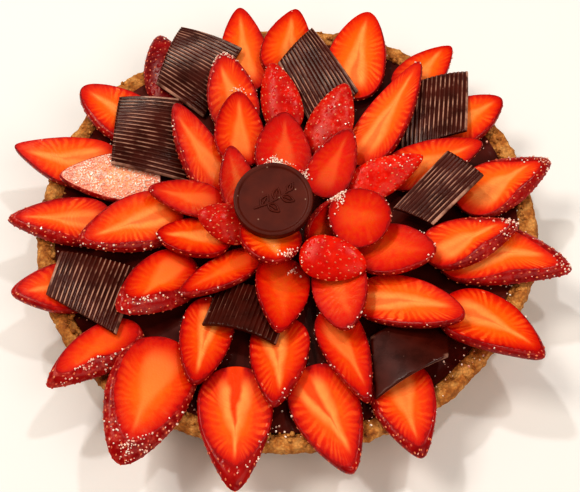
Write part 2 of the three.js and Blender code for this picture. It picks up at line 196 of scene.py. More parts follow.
@dataclass(frozen=True)
class CutStrawberry(Finish):
    """Strawberry flesh, cut with a knife: wet, a little see-through, pale at the core and
    crossed by fine pale rays that run out between deeper red to a crimson rim."""

    name: str = "strawberry_flesh_knife_cut"
    pale_stops: Stops = (
        (0.0, "#FC7A14"),
        (0.45, "#F66408"),
        (0.7, "#EA4200"),
        (0.89, "#D01E00"),
        (0.97, "#BC0A00"),
        (1.0, "#A00404"),
    )
    deep_stops: Stops = (
        (0.0, "#E03000"),
        (0.4, "#D82200"),
        (0.62, "#D01400"),
        (0.84, "#C40A00"),
        (0.96, "#B40400"),
        (1.0, "#920206"),
    )
    core_colour: str = "#FF9850"
    slit_colour: str = "#EA4200"
    ray_colour: str = "#FF8232"
    seed_end_colour: str = "#FFB48C"
    sugar_colour: str = "#FFD0B8"
    focus: float = 0.5  # the rays run square to a spine this long each way, and fan out past it
    ray_sway: float = 1.3  # how far a ray wanders, in spacings
    ray_reach: float = 0.15  # how much deeper the flesh is between two rays
    mottle_reach: float = 0.3
    unripe_reach: float = 0.09
    core_radius: float = 0.35
    seed_ring: float = 0.925  # where the rays end in pale dots, the rim being at 1
    fibre_mm: float = 0.9
    mottle_mm: float = 3.0
    grain_mm: float = 0.9  # sugar, drawn at its clumps' size so that it shows

    def surface(self, nodes: Nodes) -> Inputs:
        """Lays the red by depth, then the rays, the core and the film of sugar.

        Args:
            nodes: The material's nodes.

        Returns:
            The shader's inputs, which read the slice's own UV map and attributes.
        """
        at = self._places(nodes)
        along = nodes.add("Math", at["along"], operation="ABSOLUTE")
        fade = nodes.add("MapRange", along, 0.4, 0.85, 1.0, 0.2)
        ray = nodes.add("Math", self._rays(nodes, at), fade, operation="MULTIPLY")
        aside = nodes.add("Math", at["across"], operation="ABSOLUTE")
        outwards = nodes.add("Math", at["radius"], self.core_radius, operation="SUBTRACT")
        past_core = nodes.add("Math", aside, outwards, operation="MAXIMUM")
        outer = nodes.add("MapRange", past_core, 0.25, 0.62, **EASED)
        mottle = nodes.pattern("TexNoise", self.mottle_mm, Detail=4.0)
        colour = self._flesh(nodes, at, ray, outer, mottle)
        colour = self._ray_lines(nodes, at, colour, ray, outer)
        colour = self._core(nodes, at, colour)
        shade = nodes.add("MapRange", mottle, 0.3, 0.7, 0.88, 1.06)
        colour = nodes.add(
            "Mix", named={0: 1.0, 6: colour, 7: shade}, blend_type="MULTIPLY", **AS_COLOUR
        )
        grain = nodes.pattern("TexVoronoi", self.grain_mm)
        crystal = nodes.add("MapRange", grain, 0.25, 0.6, 1.0, 0.5)
        coat = nodes.add("Math", crystal, at["dust"], operation="MULTIPLY")
        colour = nodes.add(
            "Mix", named={0: coat, 6: colour, 7: linear(self.sugar_colour)}, **AS_COLOUR
        )
        height = nodes.pattern("TexNoise", self.fibre_mm, Detail=4.0)
        for raised, rise in ((ray, 0.5), (coat, 1.5)):
            height = nodes.add("Math", raised, rise, height, operation="MULTIPLY_ADD")
        wet = nodes.add("MapRange", mottle, 0.35, 0.65, 0.3, 0.5)
        relief = {"Strength": 0.45, "Distance": 0.25 * MM, "Height": height}
        return {
            "Base Color": colour,
            "Roughness": nodes.add("Math", coat, 0.35, wet, operation="MULTIPLY_ADD"),
            "IOR": 1.36,
            "Specular IOR Level": 0.2,
            "Subsurface Weight": 0.14,
            "Subsurface Radius": (1.0, 0.2, 0.08),
            "Subsurface Scale": 1.4 * MM,
            "Normal": nodes.add("Bump", named=relief),
        }

    @staticmethod
    def _places(nodes: Nodes) -> dict[str, Socket]:
        """Reads where a point lies on its cut face, and the numbers that its slice carries.

        Args:
            nodes: The material's nodes.

        Returns:
            Sockets by name: disc is the place with the rim at length 1, along (the tip
            being at 1) and across are its parts, and radius is its length.
        """
        at = {
            key: nodes.add("Attribute", output="Fac", attribute_name=f"berry_{key}")
            for key in ("tone", "dust", "seed", "rays", "ray_share", "core", "slit")
        }
        uv = nodes.add("UVMap", uv_map=BerrySlices.UV_MAP)
        disc = nodes.add("VectorMath", uv, (2, 2, 0), (-1, -1, 0), operation="MULTIPLY_ADD")
        at["disc"] = disc
        at["along"] = nodes.add("SeparateXYZ", disc, output="X")
        at["across"] = nodes.add("SeparateXYZ", disc, output="Y")
        at["radius"] = nodes.add("VectorMath", disc, output="Value", operation="LENGTH")
        return at

    def _flesh(
        self, nodes: Nodes, at: dict[str, Socket], ray: Socket, outer: Socket, mottle: Socket
    ) -> Socket:
        """Colours the flesh by its depth, pale or deep as its slice is.

        Args:
            nodes: The material's nodes.
            at: What _places() gives.
            ray: Where the rays are.
            outer: From 0 on the core to 1 well outside it.
            mottle: A slow change of tone.

        Returns:
            The colour.
        """
        tone = at["tone"]
        reach = nodes.add("MapRange", tone, 0.2, 0.8, self.ray_reach, 0.3 * self.ray_reach)
        between = nodes.add("Math", 0.25, ray, operation="SUBTRACT")
        between = nodes.add("Math", between, outer, operation="MULTIPLY")
        depth = nodes.add("Math", between, reach, at["radius"], operation="MULTIPLY_ADD")
        drift = nodes.add("Math", mottle, 0.5, operation="SUBTRACT")
        depth = nodes.add("Math", drift, self.mottle_reach, depth, operation="MULTIPLY_ADD")
        unripe = nodes.add("MapRange", tone, 0.0, 0.2, self.unripe_reach, 0.0)
        depth = nodes.add("Math", depth, unripe, operation="SUBTRACT")
        pale, deep = (
            nodes.add("ValToRGB", depth, stops=stops)
            for stops in (self.pale_stops, self.deep_stops)
        )
        blotch = nodes.add("Math", drift, 0.9, tone, operation="MULTIPLY_ADD")
        return nodes.add("Mix", named={0: blotch, 6: pale, 7: deep}, **AS_COLOUR)

    def _rays(self, nodes: Nodes, at: dict[str, Socket]) -> Socket:
        """Draws the rays from the core to the rim, one for each seed: square to the core
        along its length, fanning out towards the tip, each as strong as chance has it.

        Args:
            nodes: The material's nodes.
            at: What _places() gives.

        Returns:
            A socket that is up to 1 on a ray and 0 between two.
        """
        disc, seed = at["disc"], at["seed"]
        ends = [
            nodes.add("VectorMath", disc, (end, 0, 0), output="Value", operation="DISTANCE")
            for end in (-self.focus, self.focus)
        ]
        nearer = nodes.add("Math", *ends, operation="SUBTRACT")
        nearer = nodes.add("Math", nearer, 2 * self.focus, operation="DIVIDE")
        fan = nodes.add("Math", nearer, operation="ARCCOSINE")
        turns = nodes.add("Math", fan, at["rays"], operation="MULTIPLY")
        wander = {"Vector": disc, "W": seed, "Scale": 3.0, "Detail": 3.0}
        sway = nodes.add("TexNoise", named=wander, noise_dimensions="4D")
        turns = nodes.add("Math", sway, self.ray_sway, turns, operation="MULTIPLY_ADD")
        side = nodes.add("Math", at["across"], operation="SIGN")
        number = nodes.add("Math", turns, operation="FLOOR")
        which = nodes.add("CombineXYZ", number, side, seed)
        chance = nodes.add("TexWhiteNoise", which)
        wave = nodes.add("Math", turns, 0.5, operation="PINGPONG")
        narrow = nodes.add("MapRange", chance, 0.0, 1.0, 0.05, 0.25)
        beyond = nodes.add("Math", wave, narrow, operation="SUBTRACT")
        line = nodes.add("MapRange", beyond, 0.0, 0.25, **EASED)
        other_seed = nodes.add("Math", seed, 40.0, operation="ADD")
        broad = {"Vector": disc, "W": other_seed, "Scale": 1.3}
        patch = nodes.add("TexNoise", named=broad, noise_dimensions="4D")
        patchy = nodes.add("MapRange", patch, 0.38, 0.58, 0.25, 1.0)
        strength = nodes.add("MapRange", chance, 0.0, 1.0, 1.0, 0.3)
        for factor in (strength, at["ray_share"], patchy):
            line = nodes.add("Math", line, factor, operation="MULTIPLY")
        return line

    def _ray_lines(
        self, nodes: Nodes, at: dict[str, Socket], colour: Socket, ray: Socket, outer: Socket
    ) -> Socket:
        """Lightens the flesh along the rays and sets a pale dot where each meets a seed.

        Args:
            nodes: The material's nodes.
            at: What _places() gives.
            colour: The flesh so far.
            ray: Where the rays are.
            outer: From 0 on the core to 1 well outside it.

        Returns:
            The colour with the rays.
        """
        share = ray
        ended = nodes.add("MapRange", at["radius"], 0.84, 0.97, 1.0, 0.0)
        faint = nodes.add("MapRange", at["tone"], 0.0, 0.8, 0.5, 0.08)
        for factor in (outer, ended, faint):
            share = nodes.add("Math", share, factor, operation="MULTIPLY")
        colour = nodes.add(
            "Mix", named={0: share, 6: colour, 7: linear(self.ray_colour)}, **AS_COLOUR
        )
        off_ring = nodes.add("Math", at["radius"], self.seed_ring, operation="SUBTRACT")
        off_ring = nodes.add("Math", off_ring, operation="ABSOLUTE")
        ring = nodes.add("MapRange", off_ring, 0.008, 0.035, 0.45, 0.0)
        strong = nodes.add("MapRange", ray, 0.5, 0.9)
        dot = nodes.add("Math", ring, strong, operation="MULTIPLY")
        return nodes.add(
            "Mix", named={0: dot, 6: colour, 7: linear(self.seed_end_colour)}, **AS_COLOUR
        )

    def _core(self, nodes: Nodes, at: dict[str, Socket], colour: Socket) -> Socket:
        """Lays the core on the flesh: two pale bands that meet towards the tip, with a
        darker slit between them.

        Args:
            nodes: The material's nodes.
            at: What _places() gives.
            colour: The flesh so far.

        Returns:
            The colour with the core.
        """
        bend = {"Vector": at["disc"], "W": at["seed"], "Scale": 2.2, "Detail": 2.0}
        sway = nodes.add("TexNoise", named=bend, noise_dimensions="4D")
        shift = nodes.add("Math", sway, 0.24, -0.12, operation="MULTIPLY_ADD")
        aside = nodes.add("Math", at["across"], shift, operation="ADD")
        aside = nodes.add("Math", aside, operation="ABSOLUTE")
        inside_rim = nodes.add("MapRange", at["radius"], 0.55, 0.9, 1.0, 0.0, **EASED)
        for width, edge, factors, tint in (
            ((-0.9, 0.8, 0.42, 0.06), (-0.14, 0.14), (inside_rim, at["core"]), self.core_colour),
            ((-0.75, 0.5, 0.17, -0.04), (-0.07, 0.05), (at["slit"],), self.slit_colour),
        ):
            half_width = nodes.add("MapRange", at["along"], *width)
            outside = nodes.add("Math", aside, half_width, operation="SUBTRACT")
            share = nodes.add("MapRange", outside, *edge, 1.0, 0.0, **EASED)
            for factor in factors:
                share = nodes.add("Math", share, factor, operation="MULTIPLY")
            colour = nodes.add("Mix", named={0: share, 6: colour, 7: linear(tint)}, **AS_COLOUR)
        return colour


@dataclass(frozen=True)
class StrawberrySkin(Finish):
    """The uncut outside of a ripe strawberry: taut and glossy, orange-red to crimson, dimpled
    at each seed and dusted with sugar that has drawn juice and turned pink."""

    name: str = "strawberry_skin_ripe"
    light_red: tuple[str, str] = ("#C80400", "#EA2200")
    crimson: tuple[str, str] = ("#64000A", "#94040C")
    sugar_colour: str = "#E06A58"
    patch_mm: float = 7.0
    dimple_mm: float = 3.0
    clump_mm: float = 3.2
    grain_mm: float = 1.0  # sugar, drawn at its clumps' size so that it shows

    def surface(self, nodes: Nodes) -> Inputs:
        """Lays the red in patches, then the dimples and the sugar.

        Args:
            nodes: The material's nodes.

        Returns:
            The shader's inputs, which read the slice's attributes.
        """
        ripe, dust = (
            nodes.add("Attribute", output="Fac", attribute_name=key)
            for key in ("berry_ripe", "berry_dust")
        )
        patches = nodes.pattern("TexNoise", self.patch_mm, Detail=4.0)
        share = nodes.add("MapRange", patches, 0.35, 0.68)
        light, dark = (
            nodes.add("Mix", named={0: share, 6: linear(low), 7: linear(high)}, **AS_COLOUR)
            for low, high in (self.light_red, self.crimson)
        )
        colour = nodes.add("Mix", named={0: ripe, 6: light, 7: dark}, **AS_COLOUR)
        dimples = nodes.pattern("TexVoronoi", self.dimple_mm)
        pit = nodes.add("MapRange", dimples, 0.05, 0.45, **EASED)
        shade = nodes.add("MapRange", pit, 0.0, 1.0, 1.15, 0.95)
        colour = nodes.add(
            "Mix", named={0: 1.0, 6: colour, 7: shade}, blend_type="MULTIPLY", **AS_COLOUR
        )
        grain = nodes.pattern("TexVoronoi", self.grain_mm)
        clumps = nodes.pattern("TexNoise", self.clump_mm, Detail=3.0)
        coat = nodes.add("MapRange", grain, 0.2, 0.6, 0.85, 0.25)
        for factor in (nodes.add("MapRange", clumps, 0.45, 0.7), dust):
            coat = nodes.add("Math", coat, factor, operation="MULTIPLY")
        colour = nodes.add(
            "Mix", named={0: coat, 6: colour, 7: linear(self.sugar_colour)}, **AS_COLOUR
        )
        height = nodes.add("Math", coat, 0.6, pit, operation="MULTIPLY_ADD")
        relief = {"Strength": 0.5, "Distance": 0.35 * MM, "Height": height}
        return {
            "Base Color": colour,
            "Roughness": nodes.add("Math", coat, 0.4, 0.26, operation="MULTIPLY_ADD"),
            "IOR": 1.4,
            "Specular IOR Level": 0.24,
            "Subsurface Weight": 0.06,
            "Subsurface Radius": (1.0, 0.2, 0.1),
            "Subsurface Scale": 1.2 * MM,
            "Normal": nodes.add("Bump", named=relief),
        }


@dataclass(frozen=True)
class SeedHusk(Finish):
    """A strawberry's seed: a hard little husk, straw to pink, with a dull gloss."""

    name: str = "strawberry_seed_husk"
    straw: str = "#E88A5E"
    pink: str = "#CC4230"
    spread_mm: float = 2.5

    def surface(self, nodes: Nodes) -> Inputs:
        """Lays a colour that varies from seed to seed.

        Args:
            nodes: The material's nodes.

        Returns:
            The shader's inputs.
        """
        spread = nodes.pattern("TexNoise", self.spread_mm, Detail=1.0)
        share = nodes.add("MapRange", spread, 0.35, 0.65)
        pair = {0: share, 6: linear(self.straw), 7: linear(self.pink)}
        colour = nodes.add("Mix", named=pair, **AS_COLOUR)
        return {"Base Color": colour, "Roughness": 0.38, "IOR": 1.45}


@dataclass(frozen=True)
class SugarCrystal(Finish):
    """Granulated sugar that has begun to melt: white grains, tinted where juice reached."""

    name: str = "granulated_sugar"
    dry: str = "#FFF2E8"
    moist: str = "#F4B4A4"
    juice_mm: float = 4.0

    def surface(self, nodes: Nodes) -> Inputs:
        """Lays a white that is tinted over a few millimetres.

        Args:
            nodes: The material's nodes.

        Returns:
            The shader's inputs.
        """
        juice = nodes.pattern("TexNoise", self.juice_mm, Detail=2.0)
        share = nodes.add("MapRange", juice, 0.4, 0.62)
        pair = {0: share, 6: linear(self.dry), 7: linear(self.moist)}
        return {
            "Base Color": nodes.add("Mix", named=pair, **AS_COLOUR),
            "Roughness": 0.22,
            "IOR": 1.54,
            "Subsurface Weight": 0.3,
            "Subsurface Radius": (1.0, 0.8, 0.7),
            "Subsurface Scale": 0.4 * MM,
        }


@dataclass(frozen=True)
class TemperedChocolate(Finish):
    """Dark chocolate set against a smooth sheet or in a mould: near black in its depth, brown
    where light catches it, with a clean gloss and a few specks of dust."""

    name: str = "dark_chocolate_tempered"
    deep: str = "#2E0802"
    light: str = "#4A1206"
    speck: str = "#8A6258"
    # painted highlight: the colour of the pale lines along the ridge crests, standing in for
    # glints
    crest: str = "#D0A08C"
    gloss: tuple[float, float] = (0.24, 0.34)
    shine: float = 0.22
    cloud_mm: float = 9.0
    speck_mm: float = 6.5
    highlight_patch_mm: float = 8.0
    grain_mm: float = 1.4

    def surface(self, nodes: Nodes) -> Inputs:
        """Lays the brown, the specks and, on a combed leaf, the painted highlight lines on its
        crests.

        Args:
            nodes: The material's nodes.

        Returns:
            The shader's inputs.
        """
        cloud = nodes.pattern("TexNoise", self.cloud_mm, Detail=5.0)
        share = nodes.add("MapRange", cloud, 0.3, 0.7)
        pair = {0: share, 6: linear(self.deep), 7: linear(self.light)}
        colour = nodes.add("Mix", named=pair, **AS_COLOUR)
        cells = nodes.pattern("TexVoronoi", self.speck_mm)
        dot = nodes.add("MapRange", cells, 0.035, 0.07, 0.8, 0.0)
        colour = nodes.add("Mix", named={0: dot, 6: colour, 7: linear(self.speck)}, **AS_COLOUR)
        # Painted highlight: pale lines along the ridge crests, shown in patches, stand in for the
        # glints of the lamps.
        crest = nodes.add("Attribute", output="Fac", attribute_name=CombedLeaves.CREST)
        line = nodes.add("MapRange", crest, 0.55, 0.95, **EASED)
        highlight_patches = nodes.pattern("TexNoise", self.highlight_patch_mm, Detail=3.0)
        highlight_share = nodes.add("MapRange", highlight_patches, 0.42, 0.64, 0.06, 0.75)
        line = nodes.add("Math", line, highlight_share, operation="MULTIPLY")
        colour = nodes.add("Mix", named={0: line, 6: colour, 7: linear(self.crest)}, **AS_COLOUR)
        grain = nodes.pattern("TexNoise", self.grain_mm, Detail=3.0)
        relief = {"Strength": 0.12, "Distance": 0.1 * MM, "Height": grain}
        return {
            "Base Color": colour,
            "Roughness": nodes.add("MapRange", cloud, 0.35, 0.65, *self.gloss),
            "IOR": 1.5,
            "Specular IOR Level": self.shine,
            "Normal": nodes.add("Bump", named=relief),
        }


@dataclass(frozen=True)
class PouredGanache(Finish):
    """Chocolate ganache that was poured and set: almost black, level and glossy, with a
    slow ripple and a few burst bubbles."""

    name: str = "chocolate_ganache_poured"
    deep: str = "#380C08"
    light: str = "#561A12"
    ripple_mm: float = 14.0
    bubble_mm: float = 5.0

    def surface(self, nodes: Nodes) -> Inputs:
        """Lays the brown, the ripple and the bubbles.

        Args:
            nodes: The material's nodes.

        Returns:
            The shader's inputs.
        """
        ripple = nodes.pattern("TexNoise", self.ripple_mm, Detail=2.0)
        bubbles = nodes.pattern("TexVoronoi", self.bubble_mm)
        ring = nodes.add("MapRange", bubbles, 0.06, 0.11, -0.6, 0.0)
        height = nodes.add("Math", ripple, ring, operation="ADD")
        relief = {"Strength": 0.3, "Distance": 0.5 * MM, "Height": height}
        share = nodes.add("MapRange", ripple, 0.3, 0.7)
        pair = {0: share, 6: linear(self.deep), 7: linear(self.light)}
        return {
            "Base Color": nodes.add("Mix", named=pair, **AS_COLOUR),
            "Roughness": nodes.add("MapRange", ripple, 0.35, 0.65, 0.14, 0.24),
            "IOR": 1.48,
            "Specular IOR Level": 0.3,
            "Normal": nodes.add("Bump", named=relief),
        }


@dataclass(frozen=True)
class BakedShortcrust(Finish):
    """Sweet shortcrust, pressed by hand and baked: dry, sandy and browned in patches, with
    painted shade in the pits between its crumbs and a painted shade darkening its foot."""

    name: str = "shortcrust_baked"
    sandy: str = "#B4702C"
    pale: str = "#D69C58"
    browned: str = "#824210"
    # painted shade: the colour that the outer wall darkens to towards its foot
    shaded: str = "#885C28"
    foot: tuple[float, float] = (8 * MM, 22.5 * MM)  # heights between which the shade fades
    patch_mm: float = 6.0
    crumb_mm: float = 1.3
    grit_mm: float = 0.7

    def surface(self, nodes: Nodes) -> Inputs:
        """Lays the browned patches, the crumb, and the painted shade in its pits and at the foot.

        Args:
            nodes: The material's nodes.

        Returns:
            The shader's inputs.
        """
        patch = nodes.pattern("TexNoise", self.patch_mm, Detail=5.0, Roughness=0.65)
        crumb = nodes.pattern("TexVoronoi", self.crumb_mm)
        toast = ((0.3, self.browned), (0.47, self.sandy), (0.6, self.pale), (0.75, self.sandy))
        colour = nodes.add("ValToRGB", patch, stops=toast)
        # Painted shade: darker in the pits between the crumbs, where the bump sinks.
        pit_shade = nodes.add("MapRange", crumb, 0.2, 0.75, 1.08, 0.72)
        colour = nodes.add(
            "Mix", named={0: 1.0, 6: colour, 7: pit_shade}, blend_type="MULTIPLY", **AS_COLOUR
        )
        # Painted shade: the wall darkens towards its foot.
        place = nodes.add("TexCoord", output="Object")
        height = nodes.add("SeparateXYZ", place, output="Z")
        low = nodes.add("MapRange", height, *self.foot, 0.6, 0.0)
        colour = nodes.add("Mix", named={0: low, 6: colour, 7: linear(self.shaded)}, **AS_COLOUR)
        grit = nodes.pattern("TexNoise", self.grit_mm, Detail=3.0)
        broken = nodes.add("Math", grit, crumb, operation="SUBTRACT")
        relief = {"Strength": 0.8, "Distance": 0.5 * MM, "Height": broken}
        return {
            "Base Color": colour,
            "Roughness": nodes.add("MapRange", patch, 0.3, 0.7, 0.72, 0.92),
            "IOR": 1.45,
            "Normal": nodes.add("Bump", named=relief),
        }


@dataclass(frozen=True)
class PaleBoard(Finish):
    """The plain pale floor: matt, and almost even in tone."""

    name: str = "floor_pale_matt"
    near: str = "#ECEFF3"
    far: str = "#E6E9EE"
    cloud_mm: float = 300.0

    def surface(self, nodes: Nodes) -> Inputs:
        """Lays a pale grey that drifts a little.

        Args:
            nodes: The material's nodes.

        Returns:
            The shader's inputs.
        """
        cloud = nodes.pattern("TexNoise", self.cloud_mm, Detail=1.0)
        pair = {0: cloud, 6: linear(self.near), 7: linear(self.far)}
        return {"Base Color": nodes.add("Mix", named=pair, **AS_COLOUR), "Roughness": 0.7}


class Kind(Enum):
    """How a slice was cut from its berry."""

    HEART = "heart"  # from the middle, cut on both faces
    HALF = "half"  # a thick outer half, cut face up
    CAP = "cap"  # the outermost slice, skin up


@dataclass(frozen=True)
class Look:
    """How one slice looks.

    tone runs from pale to deep red; on a cap, from orange-red to crimson skin. core and
    slit are how strongly the pale bands and the slit between them show. tip, left, right
    and end are the millimetres of skin seen from above there, left and right being as the
    slice points away from the tart's middle. dust is the pink sugar film on the skin, frost
    the same on the cut face, and grains the number of loose sugar grains. spot is the
    heading, in degrees from the tip, round which the grains lie, or None where they lie
    all over. rays is how strongly the rays show on the cut face.
    """

    tone: float = 0.5
    core: float = 0.4
    slit: float = 0.3
    tip: float = 0.6
    left: float = 0.4
    right: float = 0.4
    end: float = 0.4
    dust: float = 0.1
    frost: float = 0.0
    grains: int = 3
    spot: float | None = None
    rays: float = 1.0


LOOKS = {
    "outer_left_low": Look(0.5, 0.1, 0.1, 7, 8, 0.8, dust=0.9, grains=60, spot=60, rays=0.5),
    "outer_front_left": Look(0.12, 0.5, 0.0, 9, 3.2, 3.2, dust=0.9, grains=80, spot=10, rays=0.35),
    "outer_left_middle": Look(0.4, 0.7, 0.7, 2.5, 1.2, 1.2, dust=0.3),
    "outer_front": Look(0.2, 1.0, 1.0, 9, 0.8, 1.2, dust=0.05, grains=12, spot=45),
    "outer_front_right": Look(0.25, 1.0, 0.9, 2.5, 0.7, 0.7, dust=0.2),
    "outer_right_low": Look(0.3, 0.7, 0.2, 4, 0.7, 2.4, dust=0.3, grains=5),
    "outer_left": Look(0.25, 0.7, 0.4, 3.5, 4, 1.5, dust=0.4, grains=10, spot=60),
    "outer_left_high": Look(0.05, 0.9, 0.4, 0.8, 0.6, 0.6, dust=0.1, grains=2, rays=0.7),
    "outer_back_left_low": Look(0.1, 0.9, 0.2, 1, 2.6, 0.7, dust=0.2),
    "outer_back_left": Look(1.0, dust=0.3),
    "outer_back": Look(0.15, 0.7, 0.2, rays=0.5),
    "outer_back_middle": Look(0.1, 0.8, 0.4, rays=0.6),
    "outer_back_right": Look(0.0, 1.0, 0.5, 0.6, 0.5, 1.2, dust=0.1),
    "outer_back_right_low": Look(0.1, 0.8, 0.2, rays=0.5),
    "outer_right_high": Look(0.1, 0.7, 0.1, 0.9, 0.6, 1.2, dust=0.3, rays=0.6),
    "outer_right": Look(0.02, 0.9, 0.1, 7, 1.2, 5, dust=0.45, grains=30, spot=-20),
    "outer_right_front": Look(0.1, 1.0, 0.5, 3, 0.7, 1.4, dust=0.2),
    "outer_right_middle": Look(0.0, 1.0, 0.5, 7, 1, 5.5, dust=0.35, grains=26, spot=-20),
    "outer_right_inner": Look(0.1, 0.9, 0.2, 5, 1.6, 5.5, dust=0.5, grains=44, spot=-30),
    "middle_left_high": Look(0.0, 0.3, 0.0, 0.8, 0.8, 0.6, dust=0.8, frost=0.8, grains=900),
    "middle_left": Look(0.05, 1.0, 0.5, 3, 4, 0.8, dust=0.4, grains=14, spot=60),
    "middle_left_low": Look(0.3, 0.4, 0.0, 9, 7, 1.4, dust=0.5, grains=40, spot=15, rays=0.6),
    "middle_front_left": Look(0.4, 1.0, 0.7, 1, 0.6, 0.6, grains=5),
    "middle_front": Look(0.4, 1.0, 0.6, 2, 0.6, 0.6, dust=0.2, grains=8, spot=20),
    "middle_front_right": Look(0.6, 0.5, 0.1, 2, 0.6, 0.6, dust=0.3, grains=16),
    "middle_right_low": Look(0.05, 1.0, 0.5, 1, 0.6, 1.4, dust=0.3, grains=6),
    "middle_right_high": Look(0.12, 0.8, 0.1, 0.8, 0.6, 0.8, dust=0.2),
    "middle_back_right": Look(0.05, 0.9, 0.4, 0.8, 0.6, 0.9, dust=0.2),
    "middle_back_skin_right": Look(0.3, dust=0.7, grains=22),
    "middle_back_skin": Look(0.25, dust=0.3, grains=6, spot=-60),
    "middle_back": Look(0.25, 0.8, 0.1, 2, 0.8, 1.2, dust=0.7, grains=34, spot=-20),
    "middle_back_left": Look(0.4, 0.6, 0.1, 1.4, 2.4, 0.8, dust=0.5, grains=8, spot=60),
    "inner_front_left": Look(0.45, 0.2, 0.0, 2, 0.7, 0.7, dust=0.6, grains=4, spot=0),
    "inner_left": Look(0.4, 0.9, 0.0, grains=4, spot=20),
    "inner_left_high": Look(0.55, 0.3, 0.0, 1.4, 0.6, 0.6, dust=0.5),
    "inner_back_left": Look(0.4, 0.6, 0.1, 0.8, 0.6, 0.6, dust=0.3),
    "inner_right_high": Look(0.0, dust=0.5, grains=18, spot=0),
    "inner_right": Look(0.75, 0.1, 0.0, 0.7, 0.6, 0.6, dust=0.4, grains=10, spot=0, rays=0.6),
    "inner_front_right": Look(0.65, 0.2, 0.0, grains=6, spot=20),
    "inner_front": Look(0.6, 0.1, 0.0, grains=3, rays=0.6),
    "inner_back": Look(1.0, 0.25, 0.1, 0.8, 0.6, 0.6, grains=3),
    "inner_back_right": Look(0.9, 0.2, 0.0, 1, 0.8, 0.8, dust=0.5, grains=6),
    "inner_back_left_low": Look(0.75, 0.2, 0.0, 0.8, 0.6, 0.6, dust=0.2),
    "inner_left_skin": Look(0.4, dust=0.4, grains=4),
    "inner_right_upright": Look(0.85, 0.3, 0.0, dust=0.5, grains=24, spot=0),
    "inner_right_top": Look(0.75, 0.1, 0.0, dust=0.3, grains=8, rays=0.7),
    "inner_front_skin": Look(0.1, dust=0.1, grains=2),
    "inner_front_top": Look(0.2, 1.0, 0.0, 0.8, 0.8, 0.8, dust=0.3, grains=6),
}


def frame_from(x_axis: Vector, y_axis: Vector, z_axis: Vector, origin: Vector) -> Matrix:
    """A frame from its three axes and its origin."""
    rows = [(x_axis[i], y_axis[i], z_axis[i], origin[i]) for i in range(3)]
    return Matrix([*rows, (0, 0, 0, 1)])


def merged_mesh(node: bpy.types.Object) -> bmesh.types.BMesh:
    """Copies a CAD node's mesh and merges its corners.

    Args:
        node: The CAD node.

    Returns:
        The mesh, which the caller frees.
    """
    mesh = bmesh.new()
    mesh.from_mesh(node.data)
    bmesh.ops.remove_doubles(mesh, verts=mesh.verts, dist=MERGE_DISTANCE)
    mesh.normal_update()
    return mesh


def largest_flat(mesh: bmesh.types.BMesh, upward: bool) -> list[bmesh.types.BMFace]:
    """Finds a mesh's largest flat on one side.

    Args:
        mesh: The mesh.
        upward: Whether the flat faces up, or else down.

    Returns:
        The flat's faces.
    """
    groups: dict[tuple[float, ...], list[bmesh.types.BMFace]] = {}
    for face in mesh.faces:
        if (face.normal.z > 0) == upward:
            key = tuple(round(c, 2) for c in face.normal)
            groups.setdefault(key, []).append(face)
    return max(groups.values(), key=lambda faces: sum(f.calc_area() for f in faces))


